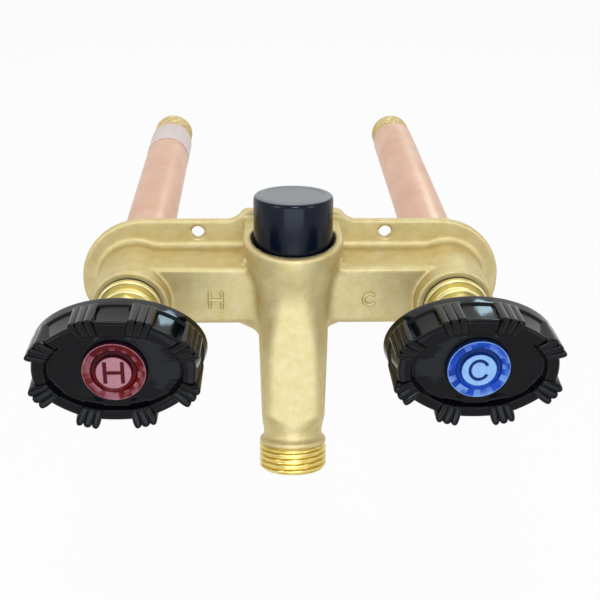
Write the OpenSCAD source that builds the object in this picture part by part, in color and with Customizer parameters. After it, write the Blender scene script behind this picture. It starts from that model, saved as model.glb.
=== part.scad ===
// Two-handle frost-free wall faucet. A cast brass body stands on a wall flange. Two copper tubes reach
// back through the wall to brass inlets that hold the valve seats. A long stem in each tube carries a
// swivelling seat washer at its far end and an oval handle at its front. A vacuum breaker sits over the
// hose spout.
// Frame: origin on the wall plane midway between the stems, +X right seen from the front, +Y into the
// wall, +Z up, millimetres. The handles face -Y. Hot is on the left, cold on the right.

/* [Wall flange] */
// Distance between the two stem axes
stem_spacing = 127; // [118:0.5:140]
// Thickness of the flange plate
flange_t = 3; // [2.5:0.1:4]
// How far the flange's ends reach beyond the stem axes
flange_reach = 22.5; // [22:0.1:24]
// Height of the flange's top edge over the stem axes
flange_top = 24.9; // [24:0.1:26]
// Depth of the flange's lower edge below the stem axes
flange_low = 21.7; // [21:0.1:22.4]
// Radius of the flange's upper corners
flange_end_r = 26; // [24:0.1:27]
// Straight side between the flange's upper and lower corners
flange_side = 2; // [1:0.1:4]
// Width of the raised tab where it leaves the flange
tab_w = 45.4; // [42:0.1:50]
// Width of the raised tab at its top
tab_top_w = 39; // [38:0.1:41]
// Height of the raised tab over the flange
tab_h = 4.6; // [3.5:0.1:6]
// Distance between the two wall screw holes
screw_spacing = 76.2; // [70:0.1:84]
// Height of the screw holes over the stem axes
screw_z = 19.8; // [19.6:0.1:20.5]
// Diameter of the wall screw holes
screw_hole_d = 5.6; // [4.5:0.1:6]

/* [Bridge and bosses] */
// Height of the bridge's top over the stem axes
bridge_top = 13.4; // [12:0.1:13.5]
// Depth of the bridge's underside below the stem axes
bridge_drop = 10.1; // [9.5:0.1:12]
// Distance of the bridge's front face from the wall
bridge_depth = 25.3; // [24.5:0.1:28]
// Rounding of the bridge's front edges
bridge_edge_r = 1.4; // [1:0.1:4]
// Fillet where the casting rises from the flange
root_r = 2.6; // [2:0.1:3.5]
// Diameter of the water gallery that joins the two valves
gallery_d = 9; // [7:0.1:9.5]
// Distance of the gallery's axis from the wall
gallery_depth = 17; // [16.9:0.1:17.5]
// Distance of the gallery's axis below the stem axes
gallery_drop = 2.2; // [1.8:0.1:3]
// Diameter of the stem bosses
boss_d = 30.6; // [28:0.1:33]
// Distance of the bosses' front faces from the wall
boss_depth = 32; // [31:0.1:36]
// Rounding of the bosses' front edges
boss_edge_r = 0.9; // [0.8:0.1:1.9]
// Height of the raised letters
letter_h = 6.5; // [5:0.1:8]
// Stroke of the raised letters
letter_stroke = 1.3; // [1:0.1:1.6]
// How far the letters stand proud of the bridge
letter_proud = 0.6; // [0.3:0.1:1]
// Width of the raised H
letter_h_w = 5.85; // [5:0.05:7]
// Distance of the letters from the middle
letter_x = 30.5; // [27:0.5:34]

/* [Column and spout] */
// Distance from the wall of the point where the column's two axes meet
junction_depth = 26.4; // [26:0.1:27]
// Depth of that point below the stem axes
junction_drop = 19; // [18.5:0.1:20]
// Lean of the spout, its lower end forwards
spout_lean = 18; // [15:0.5:20]
// Lean of the vacuum breaker, its top backwards
vent_lean = 6; // [4:0.5:7]
// Height of the column's top over the meeting point, along the spout axis
column_rise = 21; // [20:0.1:22]
// Length of the column below the meeting point
column_len = 33; // [31:0.1:36]
// Width of the column below the collar
column_top_w = 28.4; // [27.5:0.1:30]
// Width of the column above the spout neck
column_low_w = 24.4; // [24:0.1:26]
// Rounding of the column's corners
column_corner_r = 5; // [3.5:0.1:6]
// Radius of the column's corners at its top, where it meets the collar
column_top_corner_r = 11; // [9:0.1:12]
// Distance of the column's front from the spout axis below the collar
column_top_front = 19; // [18:0.1:20]
// Distance of the column's back from the spout axis below the collar
column_back = 11; // [10.5:0.1:12]
// Width of the web under the bridge on the column's hot side
hot_web_w = 12; // [9:0.5:16]
// Height of that web
hot_web_h = 6.5; // [5:0.5:8]
// Width of the web on the column's cold side
cold_web_w = 8.5; // [6:0.5:12]
// Height of that web
cold_web_h = 4; // [3:0.5:6]
// Diameter of the water way in the column and spout
spout_bore_d = 16; // [14:0.1:16.5]
// Diameter of the water way up to the vacuum breaker
riser_d = 17; // [16.6:0.1:17.4]
// Diameter of the neck above the hose thread
neck_d = 22.4; // [21.5:0.1:24]
// Length of that neck
neck_len = 5.6; // [5:0.1:8]
// Diameter of the shoulder over the hose thread
shoulder_d = 26.4; // [25:0.1:27]
// Height of the flare from the neck to the shoulder
shoulder_flare = 1.5; // [0.8:0.1:2]
// Thickness of that shoulder
shoulder_t = 1.6; // [1:0.1:2.5]
// Outside diameter of the hose thread
hose_thread_d = 27; // [26.5:0.1:27.5]
// Pitch of the hose thread
hose_pitch = 2.2; // [2:0.05:2.3]
// Depth of the hose thread
hose_thread_depth = 1.2; // [0.8:0.1:1.4]
// Number of full turns of the hose thread
hose_turns = 4; // [3:1:5]
// Chamfer at the spout's end
spout_chamfer = 1.6; // [1:0.1:2]

/* [Collar] */
// Outside diameter of the collar around the vacuum breaker
collar_d = 39; // [38.4:0.1:40]
// Height of the cone's foot over the meeting point of the axes
cone_h = 24.7; // [24:0.1:25.5]
// How far the collar's wings stay inside its outside
wing_inset = 0.3; // [0.2:0.1:1]
// Bore of the collar
collar_bore_d = 32.7; // [32.2:0.1:33.2]
// Slope of the collar's rim, its back edge high
rim_slope = 6.5; // [5:0.5:8]
// Drop of that slope below the flange's tab, where it would meet the wall
rim_drop = 1.2; // [0.6:0.1:2]
// Height of the wings' flat tops over the stem axes, where the slope ends
wing_top = 26; // [25:0.1:27]

/* [Vacuum breaker] */
// Height of the float's lower seat over the meeting point of the axes
float_seat_h = 22.2; // [21.8:0.1:23]
// Bore that the float rises in
float_bore_d = 21; // [20:0.1:22]
// Thickness of the float's disc
float_t = 3; // [2:0.1:3.5]
// Length of the float's guide fins
float_fin_len = 9; // [6:0.1:11]
// Thickness of the float's guide fins
float_fin_t = 1.6; // [1.2:0.1:2.5]
// Thickness of the seal on the float
float_seal_t = 1.5; // [1:0.1:2]
// Rise of the float to the air seat
float_travel = 4; // [3:0.1:4.5]
// Length of the insert's neck below the collar's floor
insert_neck_len = 6; // [5:0.1:7]
// Thickness of the insert's flange
insert_flange_t = 2; // [1.5:0.1:2.4]
// Diameter of the air hole in the insert
air_hole_d = 10; // [8:0.1:11]
// Outside diameter of the insert's post that carries the cap
insert_post_d = 18; // [17:0.1:19]
// Width of the air windows in the post
air_window_w = 5; // [4:0.1:6]
// Height of the air windows
air_window_h = 5; // [4:0.1:6]
// Thickness of the gasket under the insert
vent_gasket_t = 1; // [0.6:0.1:1.5]
// Outside diameter of the cap
cap_d = 30.8; // [30:0.1:31.4]
// Length of the cap
cap_len = 20.9; // [18:0.1:23]
// Wall of the cap
cap_wall = 2.2; // [1.6:0.1:2.6]
// Rounding of the cap's top edge
cap_edge_r = 2; // [1:0.1:2]
// Air gap under the cap's skirt
cap_air_gap = 0.8; // [0.5:0.1:1.2]
// Depth of the cap's socket on the post
cap_socket_len = 7; // [5:0.1:9]
// Wall of the cap's socket
cap_socket_wall = 1.8; // [1.2:0.1:2.4]

/* [Inlet tubes] */
// Outside diameter of the copper tubes
tube_d = 22.2; // [21.8:0.1:22.6]
// Wall of the copper tubes
tube_wall = 1.1; // [0.9:0.05:1.3]
// Distance of the tubes' far ends from the wall
tube_reach = 184; // [150:1:300]
// Depth of the tubes' sockets in the casting
tube_socket = 12; // [10:0.1:12]
// Length of the paper band on the hot tube
band_len = 26; // [20:1:50]
// Distance of the paper band from the tube's end
band_setback = 3.5; // [1:0.1:6]
// Thickness of the paper band
band_t = 0.2; // [0.15:0.05:0.4]

/* [Inlets] */
// Outside diameter of the inlet thread
inlet_thread_d = 21.3; // [21:0.1:21.7]
// Pitch of the inlet thread
inlet_pitch = 1.8; // [1.6:0.1:2]
// Depth of the inlet thread
inlet_thread_depth = 0.8; // [0.5:0.1:1]
// Number of full turns of the inlet thread
inlet_turns = 8; // [6:1:9]
// Plain band between the tube and the thread
inlet_band = 2; // [1:0.1:3]
// Chamfer at the inlet's end
inlet_chamfer = 1; // [0.6:0.1:1.2]
// Length of the inlet inside the tube
inlet_spigot = 16; // [12:0.5:20]
// Bore of the solder socket in the inlet
inlet_socket_d = 15.96; // [15.9:0.02:16.1]
// Depth of that socket
inlet_socket_len = 12.7; // [11:0.1:14]
// Bore of the valve seat
seat_bore_d = 11; // [10:0.1:11.5]
// Width of the seat's lip
seat_lip_w = 1.4; // [1:0.1:1.7]
// Height of the seat's lip
seat_lip_h = 1.5; // [1:0.1:2]

/* [Bonnets] */
// Thickness of the gasket under each bonnet
bonnet_gasket_t = 0.8; // [0.5:0.1:1.2]
// Diameter of the bonnet's seating ring
bonnet_ring_d = 25.4; // [24.5:0.1:26]
// Thickness of the seating ring
bonnet_ring_t = 2.8; // [2:0.1:3.5]
// Diameter of the waist
bonnet_waist_d = 19.2; // [18.6:0.1:20.5]
// Length of the waist
bonnet_waist_len = 2.6; // [2:0.1:3.4]
// Diameter of the collar in front of the waist
bonnet_collar_d = 22; // [21.2:0.1:23]
// Thickness of that collar
bonnet_collar_t = 2.4; // [1.8:0.1:3]
// Diameter of the tail that screws into the boss
bonnet_tail_d = 20.9; // [20.6:0.1:21.4]
// Length of that tail
bonnet_tail_len = 9.8; // [8:0.1:10]
// Diameter of the nose that takes the packing nut
bonnet_nose_d = 16.8; // [16.4:0.1:17.2]
// Length of that nose
bonnet_nose_len = 5.5; // [5:0.1:6.5]
// Diameter of the packing chamber
packing_d = 14.4; // [13.6:0.1:14.6]
// Depth of the packing chamber
packing_depth = 9; // [8.8:0.1:10]
// Wall between the packing chamber and the operating screw
bonnet_stop_t = 2; // [1.5:0.1:2.5]
// Length of the stem packing
packing_len = 4.5; // [3.5:0.1:5]
// Thickness of the packing washer
packing_washer_t = 1.2; // [0.8:0.1:1.6]

/* [Packing nuts] */
// Width of the nut across its flats
nut_flats = 18; // [18:0.1:18.6]
// Wall in front of the nut's thread
nut_front_t = 2.5; // [2:0.1:3.5]
// Gap between the nut and the bonnet's collar
nut_gap = 0.4; // [0.35:0.05:0.8]

/* [Stems] */
// Diameter of the stem rod
stem_d = 9.5; // [9.1:0.1:9.8]
// Diameter of the operating screw
screw_d = 12; // [11.4:0.1:12.6]
// Length of the operating screw
screw_len = 20; // [16:0.5:24]
// Chamfer at both ends of the operating screw
screw_chamfer = 0.8; // [0.4:0.1:1.2]
// Gap that is left between the open operating screw and the bonnet's stop
screw_stop_gap = 1; // [0.6:0.1:1.5]
// Lift of the stem from closed to open
stem_lift = 6; // [5:0.1:6.5]
// Side of the square that drives the handle
square_side = 6.4; // [6:0.05:6.4]
// Diameter of the swivel neck at the stem's far end
swivel_neck_d = 6; // [5:0.1:6.4]
// Length of the swivel neck
swivel_neck_len = 3; // [2.5:0.1:4]
// Diameter of the swivel head
swivel_head_d = 8.4; // [7.6:0.1:8.8]
// Length of the swivel head
swivel_head_len = 4; // [3:0.1:5]

/* [Seat washers] */
// Outside diameter of the washer holder
holder_d = 16.6; // [16:0.1:17.2]
// Wall between the swivel head and the washer screw's hole
holder_wall = 1.3; // [1:0.1:2]
// Chamfer at the holder's front edge
holder_chamfer = 1; // [0.6:0.1:1.4]
// Depth of the washer screw's hole in the holder
holder_hole_len = 4; // [3.5:0.1:5]
// Diameter of the seat washer
seat_washer_d = 14.8; // [14.4:0.1:15]
// Thickness of the seat washer
seat_washer_t = 4; // [3:0.1:5]
// Depth of the cup that holds the washer
washer_cup = 2.5; // [1.5:0.1:2.8]
// Thickness of the guide fins
guide_fin_t = 2; // [1.5:0.1:3]
// Distance of the guide fins from the holder's front
guide_fin_setback = 2; // [1.5:0.1:3]
// Length of the guide fins
guide_fin_len = 7; // [5:0.1:9]
// Diameter of the washer screw
washer_screw_d = 4; // [3.5:0.1:4.5]
// Diameter of the washer screw's head
washer_screw_head_d = 7.6; // [7:0.1:8]
// Height of that head
washer_screw_head_h = 1.8; // [1.2:0.1:2.4]

/* [Handles] */
// Gap between the packing nut and the closed handle
handle_gap = 7; // [4:0.1:10]
// Depth of the handle from its hub to its front rim
handle_depth = 27; // [25:0.1:30]
// Depth of the handle's skirt
skirt_depth = 20; // [17:0.1:22]
// Width of the handle at its back edge
handle_back_w = 63.4; // [60:0.2:68]
// Height of the handle at its back edge
handle_back_h = 39; // [38:0.2:44]
// Width of the handle's front rim between the ribs
handle_front_w = 57.6; // [56:0.2:62]
// Height of the handle's front rim between the ribs
handle_front_h = 38.4; // [37.6:0.2:42]
// How far the ribs stand proud at the front
rib_proud = 2.8; // [1:0.1:4]
// How far the ribs stand in front of the rim
rib_over = 2.3; // [0.5:0.1:2.5]
// Width of one ridge in a group of ribs
ridge_pitch = 2.9; // [2.2:0.1:3.2]
// Ridges in each group
ridge_count = 3; // [2:1:4]
// Turn from the handle's long axis to the outer groups of ribs
rib_angle_outer = 26; // [24:0.5:28]
// Turn from the handle's long axis to the inner groups of ribs
rib_angle_inner = 70; // [68:0.5:72]
// Width of the bowl in the handle's face
bowl_w = 46.4; // [44:0.2:47.6]
// Height of the bowl in the handle's face
bowl_h = 28.2; // [27.6:0.2:28.6]
// Depth of the bowl below the front rim
bowl_depth = 2.4; // [2.3:0.1:3.2]
// Wall of the handle
handle_wall = 2.6; // [2:0.1:3]
// Diameter of the hub behind the handle's face
hub_d = 16; // [13:0.1:18]
// Depth of the rounding at the rim's outer edge
rim_round_t = 0.8; // [0.4:0.1:1.4]
// Width of that rounding
rim_round_w = 0.7; // [0.4:0.1:1.2]
// Width of the rim's face with its rounding
rim_face_w = 4.7; // [4:0.1:4.8]
// Fall of the rim's face towards the bowl
rim_face_fall = 0.1; // [0.1:0.1:0.6]
// Depth of the button's cup
cup_depth = 8; // [7.9:0.1:9]
// Wall of the button's cup
cup_wall = 1.5; // [1.1:0.1:1.8]
// Depth of the cup's edge below the front rim
cup_rim_drop = 2.2; // [1.6:0.1:2.2]
// Floor of the button's cup
cup_floor_t = 3; // [2:0.1:4]

/* [Handle screws and buttons] */
// Diameter of the handle screw
handle_screw_d = 4; // [3:0.1:4.4]
// Length of the handle screw under its head
handle_screw_len = 10; // [8:0.1:12]
// Diameter of the handle screw's head
handle_screw_head_d = 11; // [10.4:0.1:12]
// Height of that head
handle_screw_head_h = 2; // [1.5:0.1:2.2]
// Gap between the stem's end and the floor of the button's cup
stem_end_gap = 0.8; // [0.4:0.1:1.2]
// Diameter of the buttons
button_d = 22.8; // [22:0.1:23.2]
// Thickness of the buttons
button_t = 5; // [4:0.1:5.1]
// Depth of the buttons' front behind the handle's rim
button_recess = 0.4; // [0.2:0.1:0.6]
// Chamfer at the buttons' front edge
button_edge = 1; // [0.6:0.1:1.4]
// Depth of the raised disc below the button's front
button_disc_drop = 0.2; // [0.1:0.1:0.6]
// Diameter of the raised disc in the button's face
button_disc_d = 13.4; // [12:0.1:14]
// Width of the groove around that disc
button_groove_w = 2.4; // [1.5:0.1:3]
// Depth of that groove
button_groove_t = 1.2; // [0.8:0.1:2]

/* [Fits] */
// Radial clearance of brazed, screwed and pressed pieces
fit_gap = 0.03; // [0.02:0.01:0.05]
// Radial clearance of turning and sliding pieces
run_gap = 0.05; // [0.03:0.01:0.08]
// Radial clearance of pieces that pass freely
free_gap = 0.3; // [0.25:0.05:0.4]

/* [Hidden] */
$fn = 64;
hull_fn = 32;
arc_steps = 8;
eps = 0.01;
// How far cuts run past the faces that they open, and joined shapes into each other
overrun = 1;
half_turn = 180;
hot = -1;
cold = 1;

cast_brass = [0.80, 0.70, 0.46];
turned_brass = [0.84, 0.74, 0.36];
copper = [0.88, 0.71, 0.61];
black_enamel = [0.06, 0.06, 0.07];
black_plastic = [0.05, 0.06, 0.10];
red_plastic = [0.70, 0.15, 0.17];
blue_plastic = [0.25, 0.45, 0.87];
black_rubber = [0.14, 0.14, 0.14];
white_plastic = [0.90, 0.90, 0.87];
steel = [0.74, 0.75, 0.76];
paper = [0.93, 0.88, 0.86];

// Casting
stem_x = stem_spacing / 2;
flange_half = stem_x + flange_reach;
flange_end_drop = flange_end_r - flange_top;
flange_low_r = flange_low - flange_end_drop - flange_side;
tab_top = flange_top + tab_h;
rim_top = tab_top - rim_drop;
boss_r = boss_d / 2;
tube_r = tube_d / 2;
tube_bore_r = tube_r - tube_wall;
collar_r = collar_d / 2;
collar_bore_r = collar_bore_d / 2;
wing_r = collar_r - wing_inset;
// How deep the wings sink into the bridge and the collar, and the cone into the column
casting_sink = 6;
wing_low_z = bridge_top - casting_sink;
wing_front = junction_depth - casting_sink;
cone_foot_h = cone_h - casting_sink;
cone_foot_r = column_top_w / 2 - overrun;
rim_cutter = 3 * collar_d;

// Column, measured down the spout axis from the meeting point of the axes
spout_bore_r = spout_bore_d / 2;
riser_r = riser_d / 2;
riser_sink = 4;
web_root = column_top_w / 2 - 2 * overrun;
shoulder_s = column_len + neck_len;
thread_s = shoulder_s + shoulder_t;
thread_relief = 0.4;
// A thread's crest, and the start and end of its root, as shares of the pitch
crest_share = 0.3;
root_start = 0.5;
root_end = 0.8;
hose_crest = crest_share * hose_pitch;
spout_end_s = thread_s + hose_turns * hose_pitch + hose_crest + spout_chamfer;

// Vacuum breaker, measured up its axis from the meeting point of the axes
air_seat_h = float_seat_h + float_t + float_seal_t + float_travel + free_gap;
collar_floor_h = air_seat_h + insert_neck_len;
insert_flange_h = collar_floor_h + vent_gasket_t;
insert_top_h = insert_flange_h + insert_flange_t;
cap_low_h = insert_top_h + cap_air_gap;
cap_top_h = cap_low_h + cap_len;
cap_ceiling_h = cap_top_h - cap_wall;
cap_open_h = cap_low_h - overrun;
float_bore_r = float_bore_d / 2;
float_r = float_bore_r - 2 * free_gap;

// Stem axis, as Y coordinates from the inlet to the handle
inlet_crest = crest_share * inlet_pitch;
inlet_thread_y = tube_reach + inlet_band;
inlet_end_y = inlet_thread_y + inlet_turns * inlet_pitch + inlet_crest + inlet_chamfer;
spigot_y = tube_reach - inlet_spigot;
seat_y = spigot_y - seat_lip_h;
washer_y = seat_y - seat_washer_t;
holder_hole_y = washer_y - holder_hole_len;
head_end_y = holder_hole_y - holder_wall;
head_y = head_end_y - swivel_head_len - 2 * run_gap;
holder_y = head_y - swivel_neck_len + 2 * run_gap;
guide_fin_y = holder_y + guide_fin_setback;
boss_y = -boss_depth;
bonnet_tail_y = boss_y + bonnet_tail_len;
ring_back_y = boss_y - bonnet_gasket_t;
ring_front_y = ring_back_y - bonnet_ring_t;
bonnet_collar_y = ring_front_y - bonnet_waist_len;
nose_y = bonnet_collar_y - bonnet_collar_t;
nose_end_y = nose_y - bonnet_nose_len;
packing_y = nose_end_y + packing_depth;
washer_ring_y = packing_y - packing_len;
gland_y = washer_ring_y - packing_washer_t;
stop_y = packing_y + bonnet_stop_t;
nut_back_y = nose_y - nut_gap;
nut_inside_y = nose_end_y - nut_gap;
nut_front_y = nut_inside_y - nut_front_t;
screw_front_y = stop_y + stem_lift + screw_stop_gap;
screw_back_y = screw_front_y + screw_len;
hub_y = nut_front_y - handle_gap;
rim_y = hub_y - handle_depth;
skirt_y = rim_y + skirt_depth;
bowl_y = rim_y + bowl_depth;
bowl_back_y = bowl_y + handle_wall;
cup_rim_y = rim_y + cup_rim_drop;
cup_floor_y = rim_y + cup_depth;
cup_back_y = cup_floor_y + cup_floor_t;
screw_head_y = cup_floor_y - handle_screw_head_h;
screw_tip_y = cup_floor_y + handle_screw_len;
stem_end_y = cup_floor_y + stem_end_gap;
button_front_y = rim_y + button_recess;
button_back_y = button_front_y + button_t;
stem_r = stem_d / 2;
screw_r = screw_d / 2;
button_r = button_d / 2;
cup_r = button_r + run_gap;
cup_outer_r = cup_r + cup_wall;
head_taper = 1;

// Rib groups around the handle, as turns of the ellipse's own parameter
rib_turns = [
    rib_angle_outer, rib_angle_inner, 180 - rib_angle_inner, 180 - rib_angle_outer,
    180 + rib_angle_outer, 180 + rib_angle_inner, 360 - rib_angle_inner, 360 - rib_angle_outer
];
plain_steps = 3;
// Height of the valleys between ridges, and of the ribs on the rim's rounding, as shares of the ribs' own
ridge_valley = 0.7;
rib_rim_share = 0.75;
// Distance of the skirt's inside from its outside at the front, in walls
skirt_slant = 1.4;

// Points of a ring thread: crests of radius r from z0, count full turns and one last crest
function ring_thread(r, depth, pitch, z0, count) = [
    for (i = [0 : count]) each concat(
        [[r, z0 + i * pitch], [r, z0 + (i + crest_share) * pitch]],
        i == count ? [] : [
            [r - depth, z0 + (i + root_start) * pitch],
            [r - depth, z0 + (i + root_end) * pitch]
        ]
    )
];

// Points of an arc about a centre, from turn a to turn b
function arc(centre, r, a, b) = [
    for (i = [0 : arc_steps]) let (t = a + (b - a) * i / arc_steps) centre + r * [cos(t), sin(t)]
];

// Length of the front rim's ellipse per degree at turn t
function rim_speed(t) = norm([handle_front_w / 2 * sin(t), handle_front_h / 2 * cos(t)]) * PI / 180;

// Height of ridge point i in a group: base at both ends, crests between shallow valleys
function ridge_height(i) = i == 0 || i == 2 * ridge_count ? 0 : i % 2 == 1 ? 1 : ridge_valley;

// Turn of ridge point i of the group at turn t
function ridge_turn(t, i) = t + (i - ridge_count) * ridge_pitch / 2 / rim_speed(t);

// Stations around the handle as [turn, ridge height]: each group, then plain stretches up to the next
rim_stations = [
    for (g = [0 : len(rib_turns) - 1])
        let (
            last = ridge_turn(rib_turns[g], 2 * ridge_count),
            wraps = g == len(rib_turns) - 1,
            next_group = wraps ? rib_turns[0] + 360 : rib_turns[g + 1],
            next = ridge_turn(next_group, 0)
        )
        each concat(
            [for (i = [0 : 2 * ridge_count]) [ridge_turn(rib_turns[g], i), ridge_height(i)]],
            [for (k = [1 : plain_steps]) [last + (next - last) * k / (plain_steps + 1), 0]]
        )
];

// One ring of the handle's shell: an ellipse w by h at depth y, with its ribs proud of it and over it
function shell_ring(w, h, y, proud = 0, over = 0) = [
    for (s = rim_stations)
        let (normal = [h * cos(s[0]), w * sin(s[0])], out = proud * s[1] / norm(normal))
        [w / 2 * cos(s[0]) + normal[0] * out, y - over * s[1], h / 2 * sin(s[0]) + normal[1] * out]
];

// A ring that lies inside the front rim's outline by inset
function inset_ring(inset, y, proud = 0, over = 0) =
    shell_ring(handle_front_w - 2 * inset, handle_front_h - 2 * inset, y, proud, over);

// Carries a shape drawn round +Z onto a stem axis, with its z as the Y coordinate
module on_stem(side) {
    translate([side * stem_x, 0, 0]) rotate([-90, 0, 0]) children();
}

// Turns a profile of [radius, y] points about a stem axis
module turned(side, points) {
    on_stem(side) rotate_extrude() polygon(points);
}

// A straight sleeve on a stem axis from y0 to y1
module sleeve(side, r_out, r_in, y0, y1) {
    turned(side, [[r_in, y0], [r_out, y0], [r_out, y1], [r_in, y1]]);
}

// A round hole on a stem axis from y0 to y1
module stem_hole(side, r, y0, y1) {
    on_stem(side) translate([0, 0, y0]) cylinder(r = r, h = y1 - y0);
}

// Frames at the meeting point of the column's axes: up the vacuum breaker, and down the spout
module at_junction(lean) {
    translate([0, -junction_depth, -junction_drop]) rotate([lean, 0, 0]) children();
}
module up_vent() {
    at_junction(-vent_lean) children();
}
module down_spout() {
    at_junction(half_turn - spout_lean) children();
}

// Extrudes an outline drawn in X and Z forwards from the wall, from y = -start
module from_wall(depth, start = 0) {
    translate([0, -start, 0]) rotate([90, 0, 0]) linear_extrude(depth) children();
}

module flange_outline() {
    upper_x = flange_half - flange_end_r;
    lower_x = flange_half - flange_low_r;
    lower_z = flange_low_r - flange_low;
    polygon(concat(
        arc([lower_x, lower_z], flange_low_r, -90, 0),
        arc([upper_x, -flange_end_drop], flange_end_r, 0, 90),
        [[tab_w / 2, flange_top], [tab_top_w / 2, tab_top]],
        [[-tab_top_w / 2, tab_top], [-tab_w / 2, flange_top]],
        arc([-upper_x, -flange_end_drop], flange_end_r, 90, 180),
        arc([-lower_x, lower_z], flange_low_r, 180, 270)
    ));
}

// Section of the bridge, drawn with x as the distance from the wall and y as the height
module bridge_section() {
    r = bridge_edge_r;
    polygon(concat(
        [[0, -bridge_drop - root_r], [flange_t, -bridge_drop - root_r]],
        arc([flange_t + root_r, -bridge_drop - root_r], root_r, 180, 90),
        arc([bridge_depth - r, r - bridge_drop], r, -90, 0),
        arc([bridge_depth - r, bridge_top - r], r, 0, 90),
        arc([flange_t + root_r, bridge_top + root_r], root_r, 270, 180),
        [[0, bridge_top + root_r]]
    ));
}

module bridge() {
    translate([-stem_x, 0, 0]) rotate([90, 0, 90]) linear_extrude(2 * stem_x)
        mirror([1, 0]) bridge_section();
}

// A boss with a rounded front edge and a flared root
module boss(side) {
    e = boss_edge_r;
    translate([side * stem_x, 0, 0]) rotate([90, 0, 0]) rotate_extrude() polygon([
        [0, eps], [boss_r + root_r, eps], [boss_r + root_r, flange_t],
        [boss_r + root_r / 3, flange_t + root_r / 3], [boss_r, flange_t + root_r], [boss_r, boss_depth - e],
        [boss_r - e / 3, boss_depth - e / 3], [boss_r - e, boss_depth], [0, boss_depth]
    ]);
}

// Corner posts of the column's section at distance s down the spout axis
module column_posts(s, w, front, back, r) {
    for (x = [-1, 1] * (w / 2 - r), y = [front - r, r - back])
        translate([x, y, s]) cylinder(r = r, h = eps, $fn = hull_fn);
}

module column() {
    down_spout() hull() {
        column_posts(-column_rise, column_top_w, column_top_front, column_back, column_top_corner_r);
        column_posts(column_len, column_low_w, column_low_w / 2, column_low_w / 2, column_corner_r);
    }
}

// Web that braces the column under the bridge on one side
module web(side, w, h) {
    from_wall(bridge_depth - 2 * bridge_edge_r, bridge_edge_r) polygon([
        [side * web_root, overrun - bridge_drop],
        [side * (web_root + w), overrun - bridge_drop],
        [side * (web_root + w), -bridge_drop],
        [side * web_root, -bridge_drop - h]
    ]);
}

// Collar on its cone, with straight wings back to the flange, cut flat at the back and sloping in front
module collar() {
    difference() {
        union() {
            up_vent() rotate_extrude() polygon([
                [0, cone_foot_h], [cone_foot_r, cone_foot_h], [column_top_w / 2, cone_h],
                [collar_r, collar_floor_h], [collar_r, cap_top_h], [0, cap_top_h]
            ]);
            translate([-wing_r, eps - wing_front, wing_low_z]) cube([2 * wing_r, wing_front - eps, rim_top]);
        }
        translate([-rim_cutter, 0, rim_top]) rotate([rim_slope, 0, 0]) translate([0, -rim_cutter, 0])
            cube(2 * rim_cutter);
        translate([-rim_cutter, -rim_cutter, wing_top]) cube(2 * rim_cutter);
    }
}

module spout() {
    down_spout() rotate_extrude() polygon(concat(
        [[0, column_len - overrun], [neck_d / 2, column_len - overrun],
            [neck_d / 2, shoulder_s - shoulder_flare], [shoulder_d / 2, shoulder_s],
            [shoulder_d / 2, thread_s - thread_relief],
            [hose_thread_d / 2 - hose_thread_depth, thread_s - thread_relief / 2]],
        ring_thread(hose_thread_d / 2, hose_thread_depth, hose_pitch, thread_s, hose_turns),
        [[hose_thread_d / 2 - spout_chamfer, spout_end_s], [0, spout_end_s]]
    ));
}

module letter_outline_h() {
    for (x = [-letter_h_w / 2, letter_h_w / 2 - letter_stroke])
        translate([x, -letter_h / 2]) square([letter_stroke, letter_h]);
    translate([-letter_h_w / 2, -letter_stroke / 2]) square([letter_h_w, letter_stroke]);
}

module letter_outline_c() {
    difference() {
        circle(letter_h / 2);
        circle(letter_h / 2 - letter_stroke);
        translate([letter_h / 4, -letter_h / 4]) square(letter_h / 2);
    }
}

module cast_letters() {
    base = bridge_depth - overrun;
    translate([-letter_x, 0, 0]) from_wall(letter_proud + overrun, base) letter_outline_h();
    translate([letter_x, 0, 0]) from_wall(letter_proud + overrun, base) letter_outline_c();
}

module valve_body() {
    color(cast_brass) difference() {
        union() {
            from_wall(flange_t) flange_outline();
            bridge();
            boss(hot);
            boss(cold);
            collar();
            column();
            web(hot, hot_web_w, hot_web_h);
            web(cold, cold_web_w, cold_web_h);
            spout();
            cast_letters();
        }
        for (x = [-1, 1] * screw_spacing / 2)
            translate([x, eps, screw_z]) rotate([90, 0, 0])
                cylinder(d = screw_hole_d, h = flange_t + 2 * root_r);
        for (side = [hot, cold]) {
            stem_hole(side, tube_r + fit_gap, -tube_socket, overrun);
            stem_hole(side, tube_bore_r, bonnet_tail_y - overrun, overrun - tube_socket);
            stem_hole(side, bonnet_tail_d / 2 + fit_gap, boss_y - overrun, bonnet_tail_y);
        }
        translate([-stem_x, -gallery_depth, -gallery_drop]) rotate([0, 90, 0])
            cylinder(d = gallery_d, h = 2 * stem_x);
        up_vent() {
            translate([0, 0, -riser_sink]) cylinder(r = riser_r, h = riser_sink + float_seat_h + overrun);
            translate([0, 0, float_seat_h]) cylinder(r = float_bore_r, h = collar_floor_h);
            translate([0, 0, collar_floor_h]) cylinder(r = collar_bore_r, h = cap_top_h);
        }
        down_spout() translate([0, 0, -overrun]) cylinder(r = spout_bore_r, h = spout_end_s + 2 * overrun);
    }
}

module vent_insert() {
    neck_r = float_bore_r - fit_gap;
    post_r = insert_post_d / 2;
    color(turned_brass) up_vent() difference() {
        rotate_extrude() polygon([
            [air_hole_d / 2, air_seat_h], [neck_r, air_seat_h], [neck_r, insert_flange_h],
            [collar_bore_r - free_gap, insert_flange_h], [collar_bore_r - free_gap, insert_top_h],
            [post_r, insert_top_h], [post_r, cap_ceiling_h], [air_hole_d / 2, cap_ceiling_h]
        ]);
        for (turn = [0, 90])
            rotate([0, 0, turn]) translate([-collar_r, -air_window_w / 2, insert_top_h])
                cube([2 * collar_r, air_window_w, air_window_h]);
    }
}

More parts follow.
